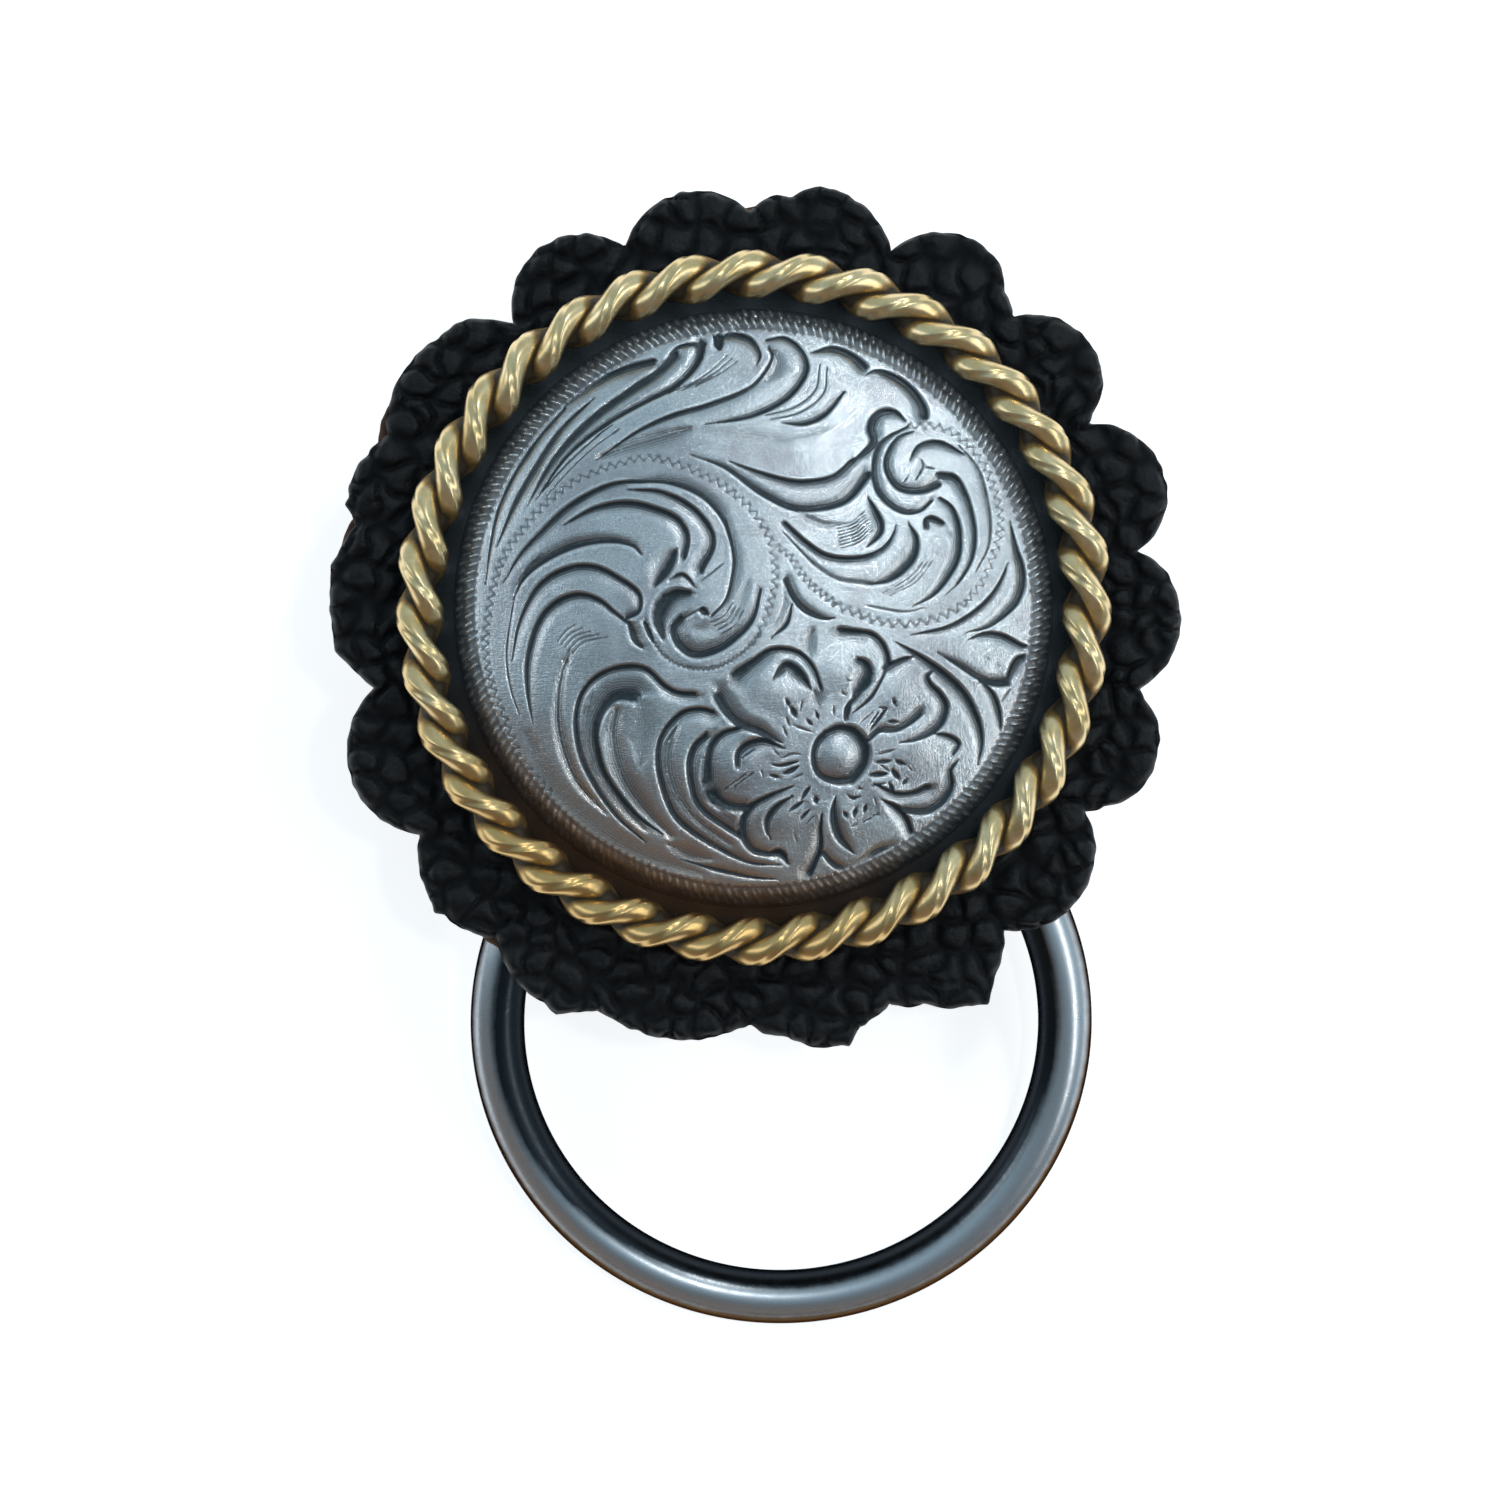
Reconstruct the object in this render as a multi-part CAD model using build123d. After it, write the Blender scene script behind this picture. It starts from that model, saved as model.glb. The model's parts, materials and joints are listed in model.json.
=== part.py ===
from build123d import *

import math
import os

# Concho: an engraved silver dome with a brass rope edge on a scalloped leather rosette, and a ring that
# swings in a leather keeper behind it. Millimetres. The concho lies on its back: its face looks up, +Z,
# the ring points to -Y, and the origin is on the post's axis, level with the back of the screw head.

# Back screw: a slotted head, which the concho lies on, and a plain shank in the post
SCREW_HEAD_D = 11.0
SCREW_HEAD_T = 1.4
SCREW_HEAD_EDGE = 0.3
SCREW_SLOT_W = 1.2
SCREW_SLOT_DEPTH = 0.6
SHANK_D = 4.1
SHANK_IN_POST = 6.0

# Room between the screw head and the keeper for the strap that the concho is fastened to
STRAP_ROOM = 2.9

# Post soldered to the plate: its end stands clear of the screw head, and its bore is blind
POST_D = 5.6
POST_END_GAP = 0.5
BORE_GAP = 0.05
BORE_SPARE = 1.0
POST_HOLE_GAP = 0.1

# Ring of round wire, and how far it swings from where it lies
RING_INSIDE_D = 28.6
WIRE_D = 3.0
RING_SWING_UP = 18.0
RING_SWING_UNDER = 160.0

# Keeper: a strap folded round the ring, sewn over its filler
KEEPER_STRAP_T = 1.3
KEEPER_WIDTH = 8.0
KEEPER_EYE_GAP = 0.4
KEEPER_FROM_POST = 7.6
KEEPER_TAIL = 5.4
KEEPER_SEAM_DEPTH = 0.15
KEEPER_SEAM_W = 0.14
KEEPER_EDGE = 0.25

# Leather layers, and the gap that each piece of the stack keeps to the next
LAYER_GAP = 0.05
BACKING_T = 1.6
ROSETTE_T = 2.0
ROSETTE_D = 46.0

# Plate: dome of sheet metal, a steep rim, and the flange that the rope sits on
PLATE_T = 1.1
DOME_D = 29.9
DOME_RISE = 2.4
RIM_RISE = 1.5
RIM_RUN = 1.1
RIM_BULGE = 0.22

# Rope: strands twisted round the rim, faceted, a narrow channel away from the rim's foot. The hand-made twist
# runs ahead at the right by a small angle, and behind by as much at the left.
CHANNEL_W = 0.3
ROPE_D = 2.7
ROPE_OUTSIDE_D = DOME_D + 2 * (RIM_RUN + CHANNEL_W + ROPE_D)
ROPE_STRANDS = 2
ROPE_TURNS = 18
ROPE_AHEAD = 1.3
STRAND_RADIUS = 0.6 * ROPE_D / 2
STRAND_OFFSET = ROPE_D / 2 - STRAND_RADIUS
FACETS_PER_STRAND = 8
SECTIONS_PER_TURN = 10

# The flange ends under the rope, past the rope's middle
FLANGE_PAST_ROPE = 0.7
FLANGE_D = ROPE_OUTSIDE_D - ROPE_D + 2 * FLANGE_PAST_ROPE

# The face is turned this much about the post against the line from the post to the ring, in degrees
FACE_TURN = 3.9

# Rosette: each scallop's tip and the notch after it. Angles in degrees from the face's own right,
# lengths as shares of the rosette's radius.
SCALLOPS = [
    # tip_deg, tip, notch_deg, notch
    (359.5, 0.998, 8.7, 0.918),
    (19.2, 1.009, 28.9, 0.902),
    (38.9, 1.002, 48.5, 0.912),
    (59.7, 1.004, 69.0, 0.898),
    (79.0, 0.998, 90.5, 0.930),
    (98.4, 0.988, 109.5, 0.899),
    (118.4, 0.981, 130.0, 0.873),
    (144.0, 0.988, 154.5, 0.952),
    (161.5, 0.990, 168.0, 0.950),
    (179.0, 0.990, 191.7, 0.905),
    (203.8, 1.020, 214.1, 0.940),
    (223.5, 1.016, 232.0, 0.975),
    (243.0, 1.040, 249.0, 1.002),
    (259.0, 1.022, 269.5, 0.968),
    (281.5, 1.036, 289.0, 0.972),
    (298.5, 1.050, 307.9, 0.950),
    (319.2, 1.016, 328.6, 0.912),
    (338.4, 1.006, 348.4, 0.922),
]

# Backing: a round disc whose rough edge shows in some of the notches
BACKING_SHARE = 0.87
BACKING_LOBES = [
    # middle_deg, half_width_deg, reach
    (89.5, 9.0, 0.952),
    (151.0, 9.5, 0.986),
    (171.5, 9.0, 0.982),
    (231.0, 9.0, 0.998),
    (250.5, 9.0, 1.014),
]

# Levels of the stack, from the surface that the screw head lies on
keeper_t = 2 * KEEPER_STRAP_T + WIRE_D + 2 * KEEPER_EYE_GAP
keeper_z = SCREW_HEAD_T + STRAP_ROOM
backing_z = keeper_z + keeper_t + LAYER_GAP
rosette_z = backing_z + BACKING_T + LAYER_GAP
plate_z = rosette_z + ROSETTE_T + LAYER_GAP
seat_z = plate_z + PLATE_T
rope_z = seat_z + LAYER_GAP + ROPE_D / 2
apex_z = seat_z + RIM_RISE + DOME_RISE
post_end_z = SCREW_HEAD_T + POST_END_GAP

# Radii that several pieces share
rosette_r = ROSETTE_D / 2
post_hole_r = POST_D / 2 + POST_HOLE_GAP
bore_r = SHANK_D / 2 + BORE_GAP
dome_r = DOME_D / 2
rope_ring_r = (ROPE_OUTSIDE_D - ROPE_D) / 2

# Ring: it turns about an axis that halves the bow of the wire inside the keeper, and slopes from there
# down to the surface
wire_r = WIRE_D / 2
ring_r = RING_INSIDE_D / 2 + wire_r
wire_bow = ring_r - math.sqrt(ring_r**2 - (KEEPER_WIDTH / 2) ** 2)
pivot_to_ring = ring_r - wire_bow / 2
pivot_z = keeper_z + keeper_t / 2
ring_slope = math.asin((pivot_z - wire_r) / (pivot_to_ring + ring_r))


def on_face(deg, radius):
    """A point of the face by its own angle, as X and Y."""
    turned = math.radians(deg - FACE_TURN)
    return radius * math.cos(turned), radius * math.sin(turned)


def leather_disc(outline, thickness, z):
    """A flat layer of the outline's shape with the hole for the post."""
    disc = extrude(make_face(outline), amount=thickness)
    hole = Cylinder(post_hole_r, 3 * thickness)
    return Pos(0, 0, z) * (disc - hole)


def rosette_outline():
    """Scallops as arcs from notch to tip to notch."""
    arcs = []
    _, _, last_deg, last_share = SCALLOPS[-1]
    start = on_face(last_deg, last_share * rosette_r)
    for tip_deg, tip, notch_deg, notch in SCALLOPS:
        end = on_face(notch_deg, notch * rosette_r)
        arcs.append(ThreePointArc(start, on_face(tip_deg, tip * rosette_r), end))
        start = end
    return arcs


def backing_outline():
    """A circle, with an arc out to each lobe's reach."""
    edge = BACKING_SHARE * rosette_r
    arcs = []
    last_deg = BACKING_LOBES[-1][0] + BACKING_LOBES[-1][1] - 360
    start = on_face(last_deg, edge)
    for middle_deg, half_width, reach in BACKING_LOBES:
        begin_deg = middle_deg - half_width
        begin = on_face(begin_deg, edge)
        arcs.append(ThreePointArc(start, on_face((last_deg + begin_deg) / 2, edge), begin))
        end = on_face(middle_deg + half_width, edge)
        arcs.append(ThreePointArc(begin, on_face(middle_deg, reach * rosette_r), end))
        start = end
        last_deg = middle_deg + half_width
    return arcs


def dome_under_z(radius, ball_r):
    """Height of the dome's hollow at a radius, one sheet thickness under its face."""
    return apex_z - ball_r + math.sqrt((ball_r - PLATE_T) ** 2 - radius**2)


def plate():
    """The sheet's half section, with the post in its middle, turned about the post's axis."""
    ball_r = (dome_r**2 + DOME_RISE**2) / (2 * DOME_RISE)
    half_way = dome_r / 2
    half_way_z = apex_z - ball_r + math.sqrt(ball_r**2 - half_way**2)
    rim_top = (dome_r, seat_z + RIM_RISE)
    rim_foot = (dome_r + RIM_RUN, seat_z)
    rim_slope = math.hypot(RIM_RUN, RIM_RISE)
    rim_middle = (
        dome_r + RIM_RUN / 2 + RIM_BULGE * RIM_RISE / rim_slope,
        seat_z + RIM_RISE / 2 + RIM_BULGE * RIM_RUN / rim_slope,
    )
    hollow_top_r = dome_r - PLATE_T * RIM_RISE / rim_slope
    hollow_foot_r = rim_foot[0] - PLATE_T
    post_r = POST_D / 2
    hollow_mid_r = (post_r + hollow_top_r) / 2
    flange_r = FLANGE_D / 2
    bore_top_z = post_end_z + SHANK_IN_POST + BORE_SPARE
    hollow_top = (hollow_top_r, dome_under_z(hollow_top_r, ball_r))
    post_root = (post_r, dome_under_z(post_r, ball_r))
    section = [
        ThreePointArc((0, apex_z), (half_way, half_way_z), rim_top),
        ThreePointArc(rim_top, rim_middle, rim_foot),
        Polyline(rim_foot, (flange_r, seat_z), (flange_r, plate_z), (hollow_foot_r, plate_z), hollow_top),
        ThreePointArc(hollow_top, (hollow_mid_r, dome_under_z(hollow_mid_r, ball_r)), post_root),
        Polyline(post_root, (post_r, post_end_z), (bore_r, post_end_z), (bore_r, bore_top_z)),
        Polyline((bore_r, bore_top_z), (0, bore_top_z), (0, apex_z)),
    ]
    upright = Plane.XZ * make_face(section)
    return revolve(upright, Axis.Z, 360)


def rope_point(section, side):
    """A corner of the rope: its outline has one lobe a strand, and turns as it goes round the rim."""
    sections = ROPE_TURNS * SECTIONS_PER_TURN
    facets = ROPE_STRANDS * FACETS_PER_STRAND
    round_rim = 2 * math.pi * section / sections
    strand_span = 2 * math.pi / ROPE_STRANDS
    from_strand = strand_span * ((side % FACETS_PER_STRAND) / FACETS_PER_STRAND - 0.5)
    across = STRAND_OFFSET * math.sin(from_strand)
    reach = STRAND_OFFSET * math.cos(from_strand) + math.sqrt(STRAND_RADIUS**2 - across**2)
    twist = ROPE_TURNS * (round_rim + math.radians(ROPE_AHEAD) * math.cos(round_rim))
    angle = twist + 2 * math.pi * side / facets - strand_span / 2
    radius = rope_ring_r + reach * math.cos(angle)
    x, y = on_face(math.degrees(round_rim), radius)
    return x, y, rope_z + reach * math.sin(angle)


def rope():
    """The twisted outline joined from section to section by triangles."""
    sections = ROPE_TURNS * SECTIONS_PER_TURN
    facets = ROPE_STRANDS * FACETS_PER_STRAND
    corners = [[Vector(*rope_point(i, j)) for j in range(facets)] for i in range(sections)]
    # One round of the rim turns the outline by whole turns, so the last section meets the first
    faces = []
    for i in range(sections):
        here, there = corners[i], corners[(i + 1) % sections]
        for j in range(facets):
            k = (j + 1) % facets
            faces.append(Face(Wire.make_polygon([here[j], there[j], there[k]])))
            faces.append(Face(Wire.make_polygon([here[j], there[k], here[k]])))
    return Solid(Shell(faces))


def keeper():
    """Side view of the folded strap, pulled out to its width, with the eye, the post hole and its seams."""
    half_t = keeper_t / 2
    eye_y = -KEEPER_FROM_POST
    side = [
        Line((KEEPER_TAIL, keeper_z), (eye_y, keeper_z)),
        ThreePointArc((eye_y, keeper_z), (eye_y - half_t, pivot_z), (eye_y, keeper_z + keeper_t)),
        Polyline((eye_y, keeper_z + keeper_t), (KEEPER_TAIL, keeper_z + keeper_t), (KEEPER_TAIL, keeper_z)),
    ]
    block = extrude(Plane.YZ * make_face(side), amount=KEEPER_WIDTH / 2, both=True)
    block = chamfer(block.edges().filter_by(GeomType.CIRCLE), KEEPER_EDGE)
    eye = Pos(0, eye_y, pivot_z) * Rot(0, 90, 0) * Cylinder(wire_r + KEEPER_EYE_GAP, 2 * KEEPER_WIDTH)
    post_hole = Pos(0, 0, pivot_z) * Cylinder(post_hole_r, 2 * keeper_t)
    block = block - eye - post_hole
    seam_length = KEEPER_TAIL + KEEPER_FROM_POST
    seam = Box(KEEPER_SEAM_DEPTH, seam_length, KEEPER_SEAM_W, align=(Align.CENTER, Align.MAX, Align.CENTER))
    for side_x in (-KEEPER_WIDTH / 2, KEEPER_WIDTH / 2):
        for level in (keeper_z + KEEPER_STRAP_T, keeper_z + keeper_t - KEEPER_STRAP_T):
            block = block - Pos(side_x, KEEPER_TAIL, level) * seam
    return block


def screw():
    """Flat head with a slot across its back, and a plain shank."""
    head = Pos(0, 0, SCREW_HEAD_T / 2) * Cylinder(SCREW_HEAD_D / 2, SCREW_HEAD_T)
    head = chamfer(head.edges(), SCREW_HEAD_EDGE)
    slot = Box(2 * SCREW_HEAD_D, SCREW_SLOT_W, 2 * SCREW_SLOT_DEPTH)
    shank_z = SCREW_HEAD_T / 2
    shank_length = post_end_z + SHANK_IN_POST - shank_z
    shank = Pos(0, 0, shank_z + shank_length / 2) * Cylinder(SHANK_D / 2, shank_length)
    return head + shank - slot


def ring():
    """A torus that slopes from the keeper's eye down to the surface."""
    pivot = Pos(0, -KEEPER_FROM_POST, pivot_z)
    return pivot * Rot(math.degrees(ring_slope), 0, 0) * Pos(0, -pivot_to_ring, 0) * Torus(ring_r, wire_r)


pieces = {
    "concho_plate": plate(),
    "rope_border": rope(),
    "rosette": leather_disc(rosette_outline(), ROSETTE_T, rosette_z),
    "rosette_backing": leather_disc(backing_outline(), BACKING_T, backing_z),
    "ring_keeper": keeper(),
    "back_screw": screw(),
    "ring": ring(),
}

os.makedirs("parts", exist_ok=True)
for name, piece in pieces.items():
    export_step(piece, f"parts/{name}.step")

# Places that the mounts, the joint and the openings are measured from
ring_middle_y = -KEEPER_FROM_POST - pivot_to_ring * math.cos(ring_slope)
ring_middle_z = pivot_z - pivot_to_ring * math.sin(ring_slope)
print(f"pivot y {-KEEPER_FROM_POST:.3f} z {pivot_z:.3f}, slope {math.degrees(ring_slope):.3f} degrees")
print(f"ring middle y {ring_middle_y:.3f} z {ring_middle_z:.3f}, ring radius {ring_r:.3f}")
print(f"ring swings {-RING_SWING_UP:.0f} to {RING_SWING_UNDER:.0f} degrees")
print(f"levels: keeper {keeper_z:.2f} backing {backing_z:.2f} rosette {rosette_z:.2f} plate {plate_z:.2f}")
print(f"levels: seat {seat_z:.2f} rope {rope_z:.2f} apex {apex_z:.2f}")
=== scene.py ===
import json
import math

import bmesh
import bpy
import numpy as np
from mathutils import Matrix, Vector
from mathutils.geometry import delaunay_2d_cdt

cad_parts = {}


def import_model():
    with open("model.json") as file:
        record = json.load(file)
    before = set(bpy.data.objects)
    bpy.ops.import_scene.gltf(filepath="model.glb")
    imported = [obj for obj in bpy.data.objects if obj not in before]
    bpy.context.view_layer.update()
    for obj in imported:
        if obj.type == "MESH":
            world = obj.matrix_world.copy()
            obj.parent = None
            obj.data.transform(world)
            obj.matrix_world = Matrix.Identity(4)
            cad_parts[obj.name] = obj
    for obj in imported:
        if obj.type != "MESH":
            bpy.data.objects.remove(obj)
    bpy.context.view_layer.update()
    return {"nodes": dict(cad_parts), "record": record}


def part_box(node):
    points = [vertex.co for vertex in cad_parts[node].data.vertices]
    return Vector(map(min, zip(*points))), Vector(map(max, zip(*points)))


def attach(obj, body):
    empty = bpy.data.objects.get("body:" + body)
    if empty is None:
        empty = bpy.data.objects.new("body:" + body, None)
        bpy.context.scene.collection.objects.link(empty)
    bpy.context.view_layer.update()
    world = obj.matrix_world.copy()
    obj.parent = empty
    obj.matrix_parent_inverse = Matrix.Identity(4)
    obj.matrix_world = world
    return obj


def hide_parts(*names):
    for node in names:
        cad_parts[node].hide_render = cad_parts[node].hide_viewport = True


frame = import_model()

# The script works in millimetres in the face's own axes, and turns and scales each piece at the end. The
# ring, the lights and the camera are in the frame's own axes.
MM = 0.001
FACE_TURN = math.radians(3.9)

# Sizes that repeat the plate's: its dome, steep rim, wall and edges, and its post with the screw's bore
DOME_R = 14.95
DOME_RISE = 2.4
RIM_RUN = 1.1
RIM_RISE = 1.5
RIM_BULGE = 0.22
PLATE_T = 1.1
PLATE_EDGE = 0.12
POST_R = 2.8
BORE_R = 2.1
BORE_DEPTH = 7.0
RIM_R = DOME_R + RIM_RUN
RIM_SLOPE = math.hypot(RIM_RUN, RIM_RISE)
BALL_R = (DOME_R**2 + DOME_RISE**2) / (2 * DOME_RISE)

# Levels and radii read from the frame, in millimetres
plate_low, plate_high = (Vector(corner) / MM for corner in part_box("concho_plate"))
rosette_low, rosette_high = (Vector(corner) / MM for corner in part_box("rosette"))
backing_low, backing_high = (Vector(corner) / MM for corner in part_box("rosette_backing"))
flange_r = plate_high.x
apex_z = plate_high.z
seat_z = apex_z - DOME_RISE - RIM_RISE
post_end_z = plate_low.z

# Rope: two strands, eighteen turns round the rim. The hand-made twist runs ahead at the right by a small
# angle, and behind by as much at the left. Each strand is worn a little flat on its crest, and its lobes
# narrow to a tip at both ends, more so at the inner end.
ROPE_R = 1.35
ROPE_RING_R = 17.7
ROPE_LIFT = 0.05
ROPE_LOWEST = 0.04
ROPE_STRANDS = 2
ROPE_TURNS = 18
ROPE_AHEAD = math.radians(1.3)
STRAND_SHARE = 0.60
STRAND_SIDES = 40
LOBE_SECTIONS = 28
LOBE_STRAIGHT = 0.35
WORN_CREST = 0.945
CREST_BLEND = 30
GAP_START = 0.77
TIP_NARROW = 0.36
INNER_NARROW = 0.55
TIP_GAP = 0.12
TIP_DEEP = 0.20
ROPE_UNEVEN = 0.018
ROPE_FINE_UNEVEN = 0.014
rope_z = seat_z + ROPE_LIFT + ROPE_R

# Painted shade: the rope is painted dark below a level over its middle, and more so on its inner side
ROPE_SHADE_LEVEL = 0.15
ROPE_SHADE_INNER = 0.35

# Ring: the radius of its wire, and its sections round the ring and sides round the wire
WIRE_R = 1.5
RING_SECTIONS = 288
WIRE_SIDES = 40

# Leather: how far its flat inner part reaches under the flange, the room round the post, and its cut edge,
# which is rounded at the top through some angles, rough below at some shares of the thickness, and stands
# in a little at its foot
UNDER_FLANGE = 1.2
HOLE_GAP = 0.1
EDGE_ROUND = 0.6
EDGE_TURNS = np.radians((18, 36, 54, 72, 86))
EDGE_DOWNS = np.linspace(0.42, 0.92, 5)
EDGE_FUZZ = 0.05
EDGE_FOOT = 0.12

# Grain of the leather that shows: the size of its pebbles, how high they stand, the level of their creases
# against the flat part, and slow waves
PEBBLE = 1.55
FINE_PEBBLE = 0.7
PEBBLE_RISE = 0.38
FINE_RISE = 0.05
LIFT_RISE = 0.12
CREASE_LEVEL = -0.22
SLOW_WAVE = 0.10
SLOW_WAVE_LENGTH = 6.0
GRAIN_CHUNK = 4000

# Seeds of all that is uneven
TEETH_SEED = 11
FACE_SEED = 41
EDGE_SEED = 5
EDGE_WAVES_SEED = 31
PEBBLE_SEED = 71
FINE_SEED = 83
LIFT_SEED = 9
SLOW_WAVE_SEED = 17

# Rosette: each scallop's tip and the notch after it, angles in degrees, lengths as shares of the radius
ROSETTE_R = 23.0
SCALLOPS = [
    # tip_deg, tip, notch_deg, notch
    (359.5, 0.998, 8.7, 0.918),
    (19.2, 1.009, 28.9, 0.902),
    (38.9, 1.002, 48.5, 0.912),
    (59.7, 1.004, 69.0, 0.898),
    (79.0, 0.998, 90.5, 0.930),
    (98.4, 0.988, 109.5, 0.899),
    (118.4, 0.981, 130.0, 0.873),
    (144.0, 0.988, 154.5, 0.952),
    (161.5, 0.990, 168.0, 0.950),
    (179.0, 0.990, 191.7, 0.905),
    (203.8, 1.020, 214.1, 0.940),
    (223.5, 1.016, 232.0, 0.975),
    (243.0, 1.040, 249.0, 1.002),
    (259.0, 1.022, 269.5, 0.968),
    (281.5, 1.036, 289.0, 0.972),
    (298.5, 1.050, 307.9, 0.950),
    (319.2, 1.016, 328.6, 0.912),
    (338.4, 1.006, 348.4, 0.922),
]

# Small departures of the rosette's cut edge, in millimetres outward
EDGE_TRIMS = [
    # middle_deg, half_width_deg, outward
    (8.5, 2.0, -0.25),
    (30.0, 2.5, -0.30),
    (51.8, 3.0, -0.50),
    (84.8, 3.0, -0.50),
    (134.8, 4.5, 0.42),
    (158.0, 5.0, -0.30),
    (165.6, 1.2, 0.25),
    (174.0, 3.0, 0.18),
    (185.6, 4.0, 0.40),
    (223.5, 1.2, 0.35),
    (274.6, 5.0, -0.50),
    (244.0, 2.2, 0.35),
    (282.4, 1.0, 0.24),
    (284.4, 1.2, -0.22),
    (285.6, 2.8, -0.36),
    (293.4, 4.5, -0.70),
    (300.8, 2.6, 0.70),
    (330.6, 2.6, -0.30),
    (347.0, 2.4, -0.20),
]

# Backing: a disc with lobes in some of the notches. The lobes are a painted shadow: brown leather put where
# brown shadow on the surface below shows between the scallops.
BACKING_SHARE = 0.87
BACKING_SHADOW_LOBES = [
    # middle_deg, half_width_deg, reach
    (89.5, 9.0, 0.952),
    (151.0, 9.5, 0.986),
    (171.5, 9.0, 0.982),
    (231.0, 9.0, 0.998),
    (250.5, 9.0, 1.014),
]
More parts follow.
